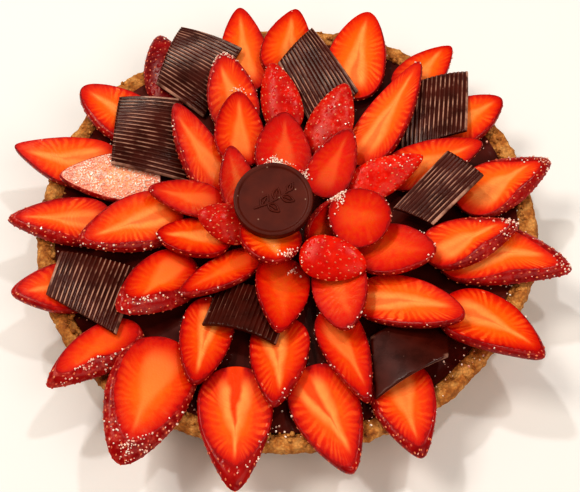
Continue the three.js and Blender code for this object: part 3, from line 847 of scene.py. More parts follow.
@dataclass
class SliceShape:
    """The form of one slice, measured on its CAD node.

    frame carries the slice's own space to the tart's: x to the tip, z out of the cut face
    (for a cap, out of the skin). Its floor is the slice's underside. Lengths in metres.
    A place on the slice is 0 at the middle of its top, 1 at the cut edge (or at a cap's
    shoulder), 2 at the edge of the underside and 3 at its middle.
    """

    kind: Kind
    look: Look
    frame: Matrix
    centre: Vector
    outline: list[Vector]
    depth: float
    seed: float
    sag: float

    TOP_SHARE = {Kind.HEART: 0.98, Kind.HALF: 0.98, Kind.CAP: 0.97}
    UNDER_SHARE = {Kind.HEART: 0.92, Kind.HALF: 0.6, Kind.CAP: 0.97}
    LEAST_CUT = 0.35  # the share of the outline that stays cut face, however much skin shows
    GIRTH = 0.8  # height of the widest line, as a share of the depth, where no skin shows
    GIRTH_DROP = 0.35  # how far it sinks where much skin shows
    MUCH_SKIN = 5 * MM
    WIDEST = 1.5  # the place of the widest line
    CAP_SHOULDER = 0.16  # height of a cap's shoulder, as a share of the depth
    CAP_EDGE = 1.7  # the place of a cap's shoulder line
    WAVINESS = 0.28 * MM
    WAVE_SIZE = 9 * MM
    DISH = 0.35 * MM  # how far a cut face sinks towards its middle
    RIM_REACH = 112 * MM
    DROOP = 0.11  # how far a tip hangs down, for each millimetre beyond the rim
    ANGLE_STEP = 0.03  # how far apart a patch's neighbours are taken
    PLACE_STEP = 0.02

    @classmethod
    def measure(cls, node: bpy.types.Object, kind: Kind, look: Look) -> "SliceShape":
        """Finds the slice's frame, outline and thickness on its CAD node.

        Args:
            node: The CAD node.
            kind: How the slice was cut.
            look: How it looks.

        Returns:
            The slice's form.
        """
        mesh = merged_mesh(node)
        flat = largest_flat(mesh, upward=kind is not Kind.CAP)
        normal = flat[0].normal.copy()
        corners = {v for face in flat for v in face.verts}
        pole = max(corners, key=lambda v: sum(face in flat for face in v.link_faces))
        ring = [v.co.copy() for v in corners if v is not pole]
        up = normal if kind is not Kind.CAP else -normal
        heights = [up.dot(v.co) for v in mesh.verts]
        middle = pole.co.copy()
        mesh.free()
        tip = max(ring, key=lambda p: math.hypot(p.x, p.y))
        side = up.cross(tip - middle).normalized()
        ring.sort(key=lambda p: cls._heading(p - middle, tip - middle, side))
        blunt = ring[len(ring) // 2]
        x_axis = (tip - blunt).normalized()
        base = (tip + blunt) / 2
        base += up * (min(heights) - up.dot(base))
        frame = frame_from(x_axis, up.cross(x_axis), up, base)
        local = frame.inverted()
        centre = (local @ middle).to_2d()
        share = cls.TOP_SHARE[kind]
        outline = [centre + ((local @ p).to_2d() - centre) / share for p in ring]
        depth = max(heights) - min(heights)
        seed = round(1000 * (base.x * 3 + base.y * 7 + base.z)) / 10
        sag = cls.DROOP * max(0.0, math.hypot(tip.x, tip.y) - cls.RIM_REACH)
        return cls(kind, look, frame, centre, outline, depth, seed, sag)

    @staticmethod
    def _heading(offset: Vector, forward: Vector, side: Vector) -> float:
        """Angle of an offset from the tip's direction, from 0 to a full turn."""
        angle = math.atan2(offset.dot(side), offset.dot(forward.normalized()))
        return angle % FULL_TURN if angle > -1e-4 else angle + FULL_TURN

    def edge(self, angle: float) -> Vector:
        """Outline of the slice at an angle, by a smooth curve through its corners.

        Args:
            angle: From the tip, in radians.

        Returns:
            The place in the slice's own plane.
        """
        count = len(self.outline)
        whole = (angle % FULL_TURN) / FULL_TURN * count
        i, t = int(whole), whole - int(whole)
        a, b, c, d = (self.outline[(i + k) % count] for k in (-1, 0, 1, 2))
        return 0.5 * (
            2 * b + (c - a) * t + (2 * a - 5 * b + 4 * c - d) * t**2
            + (3 * b - a - 3 * c + d) * t**3
        )

    def margin(self, angle: float) -> float:
        """Width of the skin that shows from above.

        Args:
            angle: From the tip, in radians.

        Returns:
            The width there.
        """
        look = self.look
        forward, sideways = math.cos(angle), math.sin(angle)
        lengthways = look.tip if forward > 0 else look.end
        across = look.left if sideways > 0 else look.right
        return MM * (lengthways * forward**2 + across * sideways**2)

    def section(self, angle: float, place: float) -> tuple[float, float]:
        """Section of the slice at an angle.

        Args:
            angle: From the tip, in radians.
            place: From the middle of the top to the middle of the underside.

        Returns:
            The share of the outline, and the height.
        """
        under = self.UNDER_SHARE[self.kind]
        if place > 2:
            return under * (3 - place), 0.0
        if self.kind is Kind.CAP:
            shoulder = self.CAP_SHOULDER * self.depth
            if place <= self.CAP_EDGE:
                turn = math.pi / 2 * place / self.CAP_EDGE
                return math.sin(turn), shoulder + (self.depth - shoulder) * math.cos(turn)
            down = (place - self.CAP_EDGE) / (2 - self.CAP_EDGE)
            return 1 + (under - 1) * down, shoulder * (1 - down)
        margin = self.margin(angle)
        cut = max(self.LEAST_CUT, 1 - margin / (self.edge(angle) - self.centre).length)
        if place <= 1:
            return cut * place, self.depth
        skin = min(1, margin / self.MUCH_SKIN)
        girth = self.depth * (self.GIRTH - self.GIRTH_DROP * skin)
        if place <= self.WIDEST:
            turn = math.pi * (place - 1)
            share = cut + (1 - cut) * math.sin(turn)
            return share, girth + (self.depth - girth) * math.cos(turn)
        turn = math.pi * (place - self.WIDEST)
        return under + (1 - under) * math.cos(turn), girth * (1 - math.sin(turn))

    def point(self, angle: float, place: float) -> Vector:
        """A point of the slice's surface in the tart's frame.

        Args:
            angle: From the tip, in radians.
            place: From the middle of the top to the middle of the underside.

        Returns:
            The point.
        """
        share, height = self.section(angle, place)
        flat = self.centre + (self.edge(angle) - self.centre) * share
        probe = Vector((flat.x, flat.y, self.seed * 10 * MM)) / self.WAVE_SIZE
        if place < 2 and share < 0.999:
            height += self.WAVINESS * noise.noise(probe) * min(1, 3 * (1 - share))
        if self.kind is not Kind.CAP and place < 1:
            height -= self.DISH * (1 - place**2)
        towards_tip = max(0.0, flat.x / self.outline[0].x)
        height -= self.sag * towards_tip**2
        return self.frame @ Vector((flat.x, flat.y, height))

    def patch(self, angle: float, place: float) -> Matrix:
        """A small frame on the surface: z outwards, x towards the tip.

        Args:
            angle: From the tip, in radians.
            place: From the middle of the top to the middle of the underside.

        Returns:
            The frame.
        """
        here = self.point(angle, place)
        round_it = self.point(angle + self.ANGLE_STEP, place) - here
        down = self.point(angle, place + self.PLACE_STEP) - here
        outward = down.cross(round_it).normalized()
        forward = self.frame.to_3x3() @ Vector((1, 0, 0))
        forward = (forward - outward * forward.dot(outward)).normalized()
        return frame_from(forward, outward.cross(forward), outward, here)


def select_alone(piece: bpy.types.Object) -> None:
    """Selects one object alone and makes it the active one.

    Args:
        piece: The object.
    """
    bpy.ops.object.select_all(action="DESELECT")
    piece.select_set(True)
    bpy.context.view_layer.objects.active = piece


def enter_alone(piece: bpy.types.Object) -> None:
    """Selects one object alone and enters edit mode with all of it selected.

    Args:
        piece: The object.
    """
    select_alone(piece)
    bpy.ops.object.mode_set(mode="EDIT")
    bpy.ops.mesh.select_all(action="SELECT")


def enter_on_faces(
    piece: bpy.types.Object, chosen: Callable[[bmesh.types.BMFace], bool]
) -> None:
    """Enters edit mode on one object with some of its faces selected.

    Args:
        piece: The object.
        chosen: Whether a face is to be selected.
    """
    enter_alone(piece)
    bpy.ops.mesh.select_all(action="DESELECT")
    mesh = bmesh.from_edit_mesh(piece.data)
    for face in mesh.faces:
        face.select_set(chosen(face))
    bmesh.update_edit_mesh(piece.data)


def add_object(name: str, data: bpy.types.ID) -> bpy.types.Object:
    """Adds an object to the scene.

    Args:
        name: Its name.
        data: Its mesh, curve, lamp or camera.

    Returns:
        The object.
    """
    thing = bpy.data.objects.new(name, data)
    bpy.context.scene.collection.objects.link(thing)
    return thing


def add_primitive(
    operator: Callable[..., object], name: str, **settings: object
) -> bpy.types.Object:
    """Adds a mesh primitive, with nothing else selected and its place in its mesh.

    Args:
        operator: The operator that adds it.
        name: The new object's name.
        settings: The operator's settings.

    Returns:
        The new object.
    """
    bpy.ops.object.select_all(action="DESELECT")
    operator(**settings)
    bpy.ops.object.transform_apply(location=True, rotation=True, scale=True)
    piece = bpy.context.object
    piece.name = name
    return piece


def apply_modifier(piece: bpy.types.Object, kind: str, **settings: object) -> None:
    """Adds a modifier to an object and applies it.

    Args:
        piece: The object.
        kind: The modifier's type.
        settings: Its properties.
    """
    select_alone(piece)
    modifier = piece.modifiers.new(kind.title(), kind)
    for name, value in settings.items():
        setattr(modifier, name, value)
    bpy.ops.object.modifier_apply(modifier=modifier.name)


def shade(piece: bpy.types.Object, angle: float | None = None) -> None:
    """Smooths an object's shading.

    Args:
        piece: The object.
        angle: The sharpest edge that is smoothed, in degrees, or None for all of them.
    """
    select_alone(piece)
    if angle is None:
        bpy.ops.object.shade_smooth()
    else:
        bpy.ops.object.shade_smooth_by_angle(angle=math.radians(angle))


def mark(piece: bpy.types.Object, marks: dict[str, float]) -> None:
    """Gives every corner of an object the same numbers, which its material reads.

    Args:
        piece: The object.
        marks: The numbers by name.
    """
    for key, value in marks.items():
        attribute = piece.data.attributes.new(key, "FLOAT", "POINT")
        attribute.data.foreach_set("value", [value] * len(piece.data.vertices))


def copy_node(node: bpy.types.Object, name: str) -> bpy.types.Object:
    """Copies a CAD node as a new piece, merged and in quads.

    Args:
        node: The CAD node.
        name: The new piece's name.

    Returns:
        The new object, with no material.
    """
    piece = add_object(name, node.data.copy())
    piece.data.materials.clear()
    enter_alone(piece)
    bpy.ops.mesh.remove_doubles(threshold=MERGE_DISTANCE)
    bpy.ops.mesh.tris_convert_to_quads(
        face_threshold=math.radians(30), shape_threshold=math.radians(60)
    )
    bpy.ops.object.mode_set(mode="OBJECT")
    return piece


def place_piece(
    piece: bpy.types.Object, slot: str, replaced: list[str], note: str
) -> None:
    """Makes a finished piece ride on the tart and reports it.

    Args:
        piece: The object.
        slot: The record's material slot; not used.
        replaced: The CAD nodes that it stands for.
        note: What to report.
    """
    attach(piece, "root")
    if replaced:
        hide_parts(*replaced)
    LOG.info("%s: %s, %d faces", piece.name, note, len(piece.data.polygons))


@dataclass
class BerrySlices:
    """All the slices of strawberry, in three rings."""

    nodes: dict[str, bpy.types.Object]
    segments: int = 64
    top_rings: tuple[float, ...] = (0.985, 0.93, 0.8, 0.62, 0.42, 0.2)
    side_steps: tuple[float, ...] = (0.06, 0.16, 0.3, 0.5, 0.68, 0.86, 1.0)
    ray_spacing: float = 3.6 * MM
    shapes: list[SliceShape] = field(default_factory=list)

    UV_MAP = "slice_face"
    SLOTS = {Kind.HEART: "berry_flesh", Kind.HALF: "berry_flesh", Kind.CAP: "berry_skin"}
    FLESH, SKIN = 0, 1  # the places of the two finishes on a slice
    FLAT = 0.9  # a face of the blank whose normal rises or falls more than this is flat
    NEARLY = 0.001  # a corner of the blank this near to its top or underside is on it
    SLICE_RIPE = 0.8  # how crimson the skin round a cut slice is
    UNDER_RING = 0.6  # radius of the one ring on the blank's underside

    def build(self, skin: bpy.types.Material) -> None:
        """Builds every slice and keeps its form for the seeds and the sugar.

        Args:
            skin: The skin's material.
        """
        blank = self._blank()
        flesh = CutStrawberry().build()
        for name in sorted(self.nodes):
            if not name.startswith("berry_") or name == WholeBerry.NODE:
                continue
            _, kind_name, place = name.split("_", 2)
            kind = Kind(kind_name)
            shape = SliceShape.measure(self.nodes[name], kind, LOOKS[place])
            self.shapes.append(shape)
            piece = self._shape_copy(blank, f"slice_{place}", shape)
            for finish in (flesh, skin):
                piece.data.materials.append(finish)
            place_piece(piece, self.SLOTS[kind], [name], f"a {kind.value} slice")
        bpy.data.objects.remove(blank)

    def _blank(self) -> bpy.types.Object:
        """Models the blank that every slice is shaped from: a disc 1 m in radius and 1 m
        thick, with rings on its faces and steps down its side.

        Returns:
            The blank, with its UV map.
        """
        blank = add_primitive(
            bpy.ops.mesh.primitive_circle_add,
            "slice_blank",
            vertices=self.segments,
            radius=1,
            fill_type="NGON",
            location=(0, 0, 1),
        )
        enter_alone(blank)
        outer = 1.0
        for ring in self.top_rings:
            bpy.ops.mesh.inset(thickness=outer - ring, depth=0)
            outer = ring
        bpy.ops.mesh.poke()
        bpy.ops.mesh.select_all(action="DESELECT")
        bpy.ops.mesh.select_non_manifold()
        depth = 0.0
        for step in self.side_steps:
            bpy.ops.mesh.extrude_region_move(
                TRANSFORM_OT_translate={"value": (0, 0, depth - step)}
            )
            depth = step
        bpy.ops.mesh.edge_face_add()
        bpy.ops.mesh.inset(thickness=1 - self.UNDER_RING, depth=0)
        bpy.ops.mesh.poke()
        bpy.ops.mesh.select_all(action="SELECT")
        bpy.ops.mesh.normals_make_consistent(inside=False)
        bpy.ops.object.mode_set(mode="OBJECT")
        layer = blank.data.uv_layers.new(name=self.UV_MAP)
        for loop in blank.data.loops:
            at = blank.data.vertices[loop.vertex_index].co
            layer.data[loop.index].uv = (0.5 + at.x / 2, 0.5 + at.y / 2)
        return blank

    def _shape_copy(
        self, blank: bpy.types.Object, name: str, shape: SliceShape
    ) -> bpy.types.Object:
        """Shapes a copy of the blank into one slice.

        Args:
            blank: The blank.
            name: The slice's name.
            shape: The slice's form.

        Returns:
            The slice, with its faces given to flesh or skin and marked for both.
        """
        piece = add_object(name, blank.data.copy())
        mesh = piece.data
        rises = [face.normal.z for face in mesh.polygons]
        for vertex in mesh.vertices:
            at = vertex.co.copy()
            angle, radius = math.atan2(at.y, at.x), min(1.0, math.hypot(at.x, at.y))
            if at.z > 1 - self.NEARLY:
                place = radius
            elif at.z < self.NEARLY:
                place = 3 - radius
            else:
                place = 2 - at.z
            vertex.co = shape.point(angle, place)
        cap, look = shape.kind is Kind.CAP, shape.look
        dust = mesh.attributes.new("berry_dust", "FLOAT", "FACE")
        for face, rise in zip(mesh.polygons, rises):
            top, under = rise > self.FLAT, rise < -self.FLAT
            cut = under if cap else top or (under and shape.kind is Kind.HEART)
            face.material_index = self.FLESH if cut else self.SKIN
            dust.data[face.index].value = look.frost if cut and not cap else look.dust
        marks = {
            "berry_seed": shape.seed,
            "berry_tone": look.tone,
            "berry_core": look.core,
            "berry_slit": look.slit,
            "berry_ripe": look.tone if cap else self.SLICE_RIPE,
            "berry_rays": (shape.outline[0] - shape.centre).length / self.ray_spacing,
            "berry_ray_share": look.rays,
        }
        mark(piece, marks)
        shade(piece, SHARP)
        return piece


@dataclass
class WholeBerry:
    """The whole strawberry that stands in the middle of the heap."""

    node: bpy.types.Object
    skin: bpy.types.Material
    rows: int = 6
    round_it: int = 11
    seeds: list[Matrix] = field(default_factory=list)

    NODE = "berry_whole_inner_middle"
    OUTSIDE = 30 * MM  # far enough from the berry's middle to look at it from outside
    MARKS = {"berry_dust": 0.3, "berry_ripe": 0.7}

    def build(self) -> None:
        """Builds the berry from its CAD node and finds where its seeds sit."""
        piece = copy_node(self.node, "strawberry_whole")
        apply_modifier(piece, "SUBSURF", levels=2, render_levels=2)
        piece.data.materials.append(self.skin)
        mark(piece, self.MARKS)
        shade(piece)
        low, high = (Vector(corner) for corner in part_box(self.node.name))
        middle = (low + high) / 2
        for row in range(self.rows):
            height = low.z + (high.z - low.z) * (row + 1.0) / (self.rows + 0.6)
            for number in range(self.round_it):
                angle = FULL_TURN * (number + row % 2 / 2) / self.round_it
                outward = Vector((math.cos(angle), math.sin(angle), 0))
                start = Vector((middle.x, middle.y, height)) + outward * self.OUTSIDE
                hit, spot, normal, _ = piece.ray_cast(start, -outward)
                if hit:
                    turn = normal.to_track_quat("Z", "X").to_matrix().to_4x4()
                    self.seeds.append(Matrix.Translation(spot) @ turn)
        place_piece(piece, "berry_skin", [self.node.name], "the whole berry")


@dataclass
class LooseGrains:
    """Many copies of one small solid, laid by frames, as one piece."""

    name: str
    corners: list[Vector]
    faces: list[tuple[int, ...]]
    frames: list[Matrix] = field(default_factory=list)

    @classmethod
    def of(
        cls, name: str, operator: Callable[..., object], **settings: object
    ) -> "LooseGrains":
        """Starts an empty heap of grains of one shape.

        Args:
            name: The piece's name.
            operator: The operator that adds the grain's primitive.
            settings: The operator's settings.

        Returns:
            The heap.
        """
        model = add_primitive(operator, f"{name}_model", **settings)
        corners = [v.co.copy() for v in model.data.vertices]
        faces = [tuple(f.vertices) for f in model.data.polygons]
        bpy.data.objects.remove(model)
        return cls(name, corners, faces)

    def build(self, finish: bpy.types.Material, slot: str, smooth: bool) -> None:
        """Makes the piece.

        Args:
            finish: Its material.
            slot: The record's material slot.
            smooth: Whether the grains are shaded smooth.
        """
        points = [frame @ corner for frame in self.frames for corner in self.corners]
        count = len(self.corners)
        faces = [
            tuple(k * count + i for i in face)
            for k in range(len(self.frames))
            for face in self.faces
        ]
        mesh = bpy.data.meshes.new(self.name)
        mesh.from_pydata(points, [], faces)
        mesh.materials.append(finish)
        piece = add_object(self.name, mesh)
        if smooth:
            shade(piece)
        place_piece(piece, slot, [], f"{len(self.frames)} of them")


@dataclass
class BerrySeeds:
    """The seeds in the skin of every slice and of the whole berry."""

    shapes: list[SliceShape]
    more: list[Matrix]
    spacing: float = 4.2 * MM
    size: tuple[float, float, float] = (0.64 * MM, 0.42 * MM, 0.24 * MM)
    cap_rows: tuple[float, ...] = (0.25, 0.55, 0.85, 1.15, 1.45)
    side_rows: tuple[float, ...] = (1.12, 1.32, 1.55)
    row_margin: float = 2.2 * MM  # the upper rows of a cut slice need more skin than this
    row_turn: float = 0.35  # radians by which each row starts later than the last
    probe: float = 0.05  # radians over which a row's length is measured
    least_radius: float = 4 * MM
    scales: tuple[float, float] = (0.85, 1.15)

    def build(self) -> None:
        """Lays the seeds in rows over the skin that can be seen."""
        grains = LooseGrains.of(
            "strawberry_seeds",
            bpy.ops.mesh.primitive_ico_sphere_add,
            subdivisions=1,
            radius=1,
        )
        dice = random.Random(11)
        frames = list(self.more)
        for shape in self.shapes:
            for angle, place in self._places(shape):
                turned = angle + dice.uniform(-0.04, 0.04)
                frames.append(shape.patch(turned, place + dice.uniform(-0.02, 0.02)))
        for at in frames:
            scale = dice.uniform(*self.scales)
            size = Matrix.Diagonal([scale * s for s in self.size] + [1])
            twist = Matrix.Rotation(dice.uniform(-0.5, 0.5), 4, "Z")
            grains.frames.append(at @ twist @ size)
        grains.build(SeedHusk().build(), "berry_skin", smooth=True)

    def _places(self, shape: SliceShape) -> Iterator[tuple[float, float]]:
        """Walks the rows of seeds on one slice.

        Args:
            shape: The slice's form.

        Yields:
            The angle and place of each seed, as SliceShape.point takes them.
        """
        cap = shape.kind is Kind.CAP
        rows = self.cap_rows if cap else self.side_rows
        for number, row in enumerate(rows):
            angle = self.row_turn * number
            end = angle + FULL_TURN
            while angle < end:
                here = shape.point(angle, row)
                radius = (shape.point(angle + self.probe, row) - here).length / self.probe
                if cap or row == rows[-1] or shape.margin(angle) > self.row_margin:
                    yield angle, row
                angle += self.spacing / max(radius, self.least_radius)


@dataclass
class SugarDusting:
    """Sugar grains on the fruit, the filling's edge and the rim.

    Each heap is its middle's x and y and its spread in x and y, in millimetres, and how
    many grains it has.
    """

    shapes: list[SliceShape]
    smallest: float = 0.35 * MM
    largest: float = 0.8 * MM
    spot_spread: float = 32  # degrees
    fallen: int = 260
    fallen_bearing: tuple[float, float] = (292, 42)  # degrees, middle and spread
    fallen_reach: tuple[float, float] = (105, 4)  # millimetres, middle and spread
    fallen_within: tuple[float, float] = (88 * MM, 112 * MM)
    filling_edge: float = 105 * MM
    filling_top: float = 23.9 * MM
    rim_top: float = 25.6 * MM
    heaps: tuple[tuple[float, float, float, float, int], ...] = (
        (-4.2, 22.5, 2.8, 1.6, 130),
        (7.8, 16.0, 1.2, 2.4, 60),
        (22.6, -2.0, 1.9, 3.2, 190),
        (1.5, -32.0, 2.6, 1.8, 70),
        (-23.0, 66.0, 2.2, 1.6, 40),
    )

    def build(self) -> None:
        """Lays the grains."""
        grains = LooseGrains.of("sugar_grains", bpy.ops.mesh.primitive_cube_add, size=1)
        dice = random.Random(23)
        for shape in self.shapes:
            for _ in range(shape.look.grains):
                grains.frames.append(self._grain(shape.patch(*self._spot(shape, dice)), dice))
        for frame in [*self._edge_grains(dice), *self._heap_grains(dice)]:
            grains.frames.append(self._grain(frame, dice))
        grains.build(SugarCrystal().build(), "berry_skin", smooth=False)

    def _spot(self, shape: SliceShape, dice: random.Random) -> tuple[float, float]:
        """Chooses where a grain lies on a slice.

        Args:
            shape: The slice's form.
            dice: The random numbers.

        Returns:
            The angle and place.
        """
        look = shape.look
        if look.frost:
            return dice.uniform(0, FULL_TURN), math.sqrt(dice.uniform(0.002, 0.96))
        if look.spot is None:
            angle = dice.uniform(0, FULL_TURN)
        else:
            angle = math.radians(dice.gauss(look.spot, self.spot_spread))
        if shape.kind is Kind.CAP:
            return angle, dice.uniform(0.3, 1.5)
        return angle, dice.uniform(0.93, 1.4)

    def _edge_grains(self, dice: random.Random) -> Iterator[Matrix]:
        """Places of the grains that fell on the filling's edge and the rim.

        Args:
            dice: The random numbers.

        Yields:
            A frame for each grain.
        """
        nearest, farthest = self.fallen_within
        for _ in range(self.fallen):
            bearing = math.radians(dice.gauss(*self.fallen_bearing))
            reach = dice.gauss(*self.fallen_reach) * MM
            if not nearest < reach < farthest:
                continue
            height = self.filling_top if reach < self.filling_edge else self.rim_top
            yield Matrix.Translation(
                (reach * math.cos(bearing), reach * math.sin(bearing), height)
            )

    def _heap_grains(self, dice: random.Random) -> Iterator[Matrix]:
        """Places of the grains that lie in small heaps, found by dropping them.

        Args:
            dice: The random numbers.

        Yields:
            A frame for each grain.
        """
        depsgraph = bpy.context.evaluated_depsgraph_get()
        down = Vector((0, 0, -1))
        for x, y, wide, deep, count in self.heaps:
            for _ in range(count):
                start = Vector((dice.gauss(x, wide) * MM, dice.gauss(y, deep) * MM, 0.1))
                hit, spot, normal, *_ = bpy.context.scene.ray_cast(depsgraph, start, down)
                if hit and normal.z > 0.2:
                    yield Matrix.Translation(spot + Vector((0, 0, 0.3 * MM * dice.random())))

    def _grain(self, at: Matrix, dice: random.Random) -> Matrix:
        """Turns and sizes one grain.

        Args:
            at: Where it lies.
            dice: The random numbers.

        Returns:
            The grain's frame.
        """
        size = dice.uniform(self.smallest, self.largest)
        sides = [size * dice.uniform(0.7, 1.1) for _ in range(3)]
        lift = Matrix.Translation((0, 0, 0.3 * size))
        turn = Matrix.Rotation(dice.uniform(0, FULL_TURN), 4, "Z")
        lean = Matrix.Rotation(dice.uniform(-0.7, 0.7), 4, "X")
        return at @ lift @ turn @ lean @ Matrix.Diagonal(sides + [1])


@dataclass
class CombedLeaves:
    """The curved leaves of combed chocolate."""

    nodes: dict[str, bpy.types.Object]
    ridge: float = math.radians(22)  # an edge along a ridge or groove turns more than this
    sharp: float = math.radians(66)  # and a cut edge more than this
    ridge_crease: float = 0.5
    cut_crease: float = 0.85
    # these leaves get fainter painted highlight lines on their crests
    shaded: tuple[str, ...] = ("chocolate_leaf_front_left",)  # crests that catch little light
    faint_highlight_mark: float = 0.72

    CREST = "comb_crest"

    def build(self) -> None:
        """Builds every leaf from its CAD node, with its ridges rounded."""
        finish = TemperedChocolate().build()
        for name in sorted(self.nodes):
            if not name.startswith("chocolate_leaf"):
                continue
            piece = copy_node(self.nodes[name], name.replace("chocolate_leaf", "combed_leaf"))
            self._crease(piece, self.faint_highlight_mark if name in self.shaded else 1.0)
            apply_modifier(piece, "SUBSURF", levels=2, render_levels=2)
            piece.data.materials.append(finish)
            shade(piece, SHARP)
            place_piece(piece, "chocolate", [name], "combed chocolate")

    def _crease(self, piece: bpy.types.Object, bright: float) -> None:
        """Holds the cut edges sharp while the ridges are rounded, and marks crests for painted
        highlights.

        Args:
            piece: The leaf.
            bright: The mark that the crests get, which sets how strong their painted highlight
                lines are.
        """
        mesh = bmesh.new()
        mesh.from_mesh(piece.data)
        crease = mesh.edges.layers.float.new("crease_edge")
        crest = mesh.verts.layers.float.new(self.CREST)
        for edge in mesh.edges:
            turn = edge.calc_face_angle(0)
            if turn > self.sharp:
                edge[crease] = self.cut_crease
            elif turn > self.ridge:
                edge[crease] = self.ridge_crease
                if edge.is_convex:
                    for vertex in edge.verts:
                        vertex[crest] = bright
        mesh.to_mesh(piece.data)
        mesh.free()


@dataclass
class Medallion:
    """The moulded chocolate medallion: a disc with a raised border and a sprig in low
    relief. The sprig's stem and its leaves' feet are in millimetres, each leaf being its
    foot, its heading in degrees and its length."""

    node: bpy.types.Object
    radius: float = 17.5 * MM
    thickness: float = 4.6 * MM
    border: float = 2.4 * MM
    slope: float = 0.7 * MM
    recess: float = 0.7 * MM
    rounding: float = 0.45 * MM
    field_rings: int = 3  # rings on the sunk field, this far apart
    ring_spacing: float = 4 * MM
    line: float = 0.5 * MM
    line_lift: float = 0.05 * MM
    stem: tuple[tuple[float, float], ...] = ((-8.5, -4.5), (-3, -2.6), (2.5, 0.6), (8, 5))
    leaves: tuple[tuple[float, float, float, float], ...] = (
        (-5.2, -3.3, 62, 6.0),
        (-2.2, -2.2, -38, 6.2),
        (1.0, -0.4, 82, 6.0),
        (3.6, 1.4, -22, 6.0),
        (6.6, 3.8, 66, 4.6),
    )

    def build(self) -> None:
        """Builds the disc and its sprig at the CAD node's place."""
        finish = TemperedChocolate(
            name="dark_chocolate_moulded",
            deep="#440F04",
            light="#581806",
            speck="#A08070",
            gloss=(0.4, 0.5),
            shine=0.2,
        ).build()
        frame = self._frame()
        for piece, angle, replaced, note in (
            (self._disc(), SHARP, [self.node.name], "the medallion's disc"),
            (self._sprig(), None, [], "the sprig in relief"),
        ):
            piece.data.transform(frame)
            piece.data.materials.append(finish)
            shade(piece, angle)
            place_piece(piece, "chocolate", replaced, note)

    def _frame(self) -> Matrix:
        """Finds the medallion's frame on its CAD node: its underside's middle, z up.

        Returns:
            The frame.
        """
        mesh = merged_mesh(self.node)
        up = -largest_flat(mesh, upward=False)[0].normal.copy()
        points = [v.co.copy() for v in mesh.verts]
        mesh.free()
        middle = sum(points, Vector()) / len(points)
        lowest = min(up.dot(p) for p in points)
        base = middle + up * (lowest - up.dot(middle))
        y_axis = up.cross(Vector((1, 0, 0))).normalized()
        return frame_from(y_axis.cross(up), y_axis, up, base)

    def _disc(self) -> bpy.types.Object:
        """Models the disc, standing on the origin.

        Returns:
            The disc.
        """
        disc = add_primitive(
            bpy.ops.mesh.primitive_cylinder_add,
            "medallion_disc",
            vertices=96,
            radius=self.radius,
            depth=self.thickness,
            location=(0, 0, self.thickness / 2),
        )
        enter_on_faces(disc, lambda face: face.normal.z > 0.9)
        bpy.ops.mesh.inset(thickness=self.border - self.slope, depth=0)
        bpy.ops.mesh.inset(thickness=self.slope, depth=-self.recess)
        for _ in range(self.field_rings):
            bpy.ops.mesh.inset(thickness=self.ring_spacing, depth=0)
        bpy.ops.object.mode_set(mode="OBJECT")
        apply_modifier(
            disc,
            "BEVEL",
            width=self.rounding,
            segments=3,
            limit_method="ANGLE",
            angle_limit=math.radians(25),
        )
        return disc

    def _sprig(self) -> bpy.types.Object:
        """Draws the sprig as raised lines on the disc's field.

        Returns:
            The sprig as one mesh.
        """
        height = self.thickness - self.recess + self.line_lift
        strokes = [[(x * MM, y * MM) for x, y in self.stem]]
        for x, y, heading, length in self.leaves:
            strokes.extend(self._leaf(x * MM, y * MM, math.radians(heading), length * MM))
        curve = bpy.data.curves.new("medallion_sprig", "CURVE")
        curve.dimensions = "3D"
        curve.bevel_depth = self.line
        curve.bevel_resolution = 2
        curve.use_fill_caps = True
        curve.resolution_u = 8
        for stroke in strokes:
            spline = curve.splines.new("NURBS")
            spline.points.add(len(stroke) - 1)
            for point, (x, y) in zip(spline.points, stroke):
                point.co = (x, y, height, 1)
            spline.use_endpoint_u = True
            spline.order_u = 3
        select_alone(add_object("medallion_sprig", curve))
        bpy.ops.object.convert(target="MESH")
        return bpy.context.object

    @staticmethod
    def _leaf(
        x: float, y: float, heading: float, length: float
    ) -> list[list[tuple[float, float]]]:
        """Outlines one leaf of the sprig.

        Args:
            x: Place of its foot.
            y: Place of its foot.
            heading: Where it points, in radians.
            length: Its length.

        Returns:
            The strokes: two sides and a midrib.
        """
        forward = Vector((math.cos(heading), math.sin(heading)))
        side = Vector((-forward.y, forward.x))
        foot = Vector((x, y))

        def at(along: float, across: float) -> tuple[float, float]:
            """A place on the leaf, in shares of its length."""
            return tuple(foot + forward * (along * length) + side * (across * length))

        sides = [
            [at(0, 0), at(0.25, s * 0.28), at(0.65, s * 0.26), at(1, 0)] for s in (1, -1)
        ]
        return [*sides, [at(0.1, 0), at(0.4, 0.02), at(0.72, 0)]]


@dataclass
class GanacheFilling:
    """The chocolate ganache that fills the shell."""

    node: bpy.types.Object
    top: float = 22 * MM  # faces higher than this are the filling's top
    level: float = 23 * MM  # and its corners higher than this
    edge: float = 104 * MM
    ripple: float = 0.3 * MM
    ripple_size: float = 16 * MM
    sink: float = 0.1 * MM

    def build(self) -> None:
        """Builds the filling from its CAD node, with its surface softened."""
        piece = copy_node(self.node, "ganache_poured")
        enter_on_faces(
            piece,
            lambda face: face.calc_center_median().z > self.top and face.normal.z > 0.2,
        )
        bpy.ops.mesh.subdivide(number_cuts=3)
        bpy.ops.object.mode_set(mode="OBJECT")
        for vertex in piece.data.vertices:
            at = vertex.co
            if at.z > self.level and math.hypot(at.x, at.y) < self.edge:
                vertex.co.z += self.ripple * noise.noise(at / self.ripple_size) - self.sink
        piece.data.materials.append(PouredGanache().build())
        shade(piece, SHARP)
        place_piece(piece, "ganache", [self.node.name], "the filling")


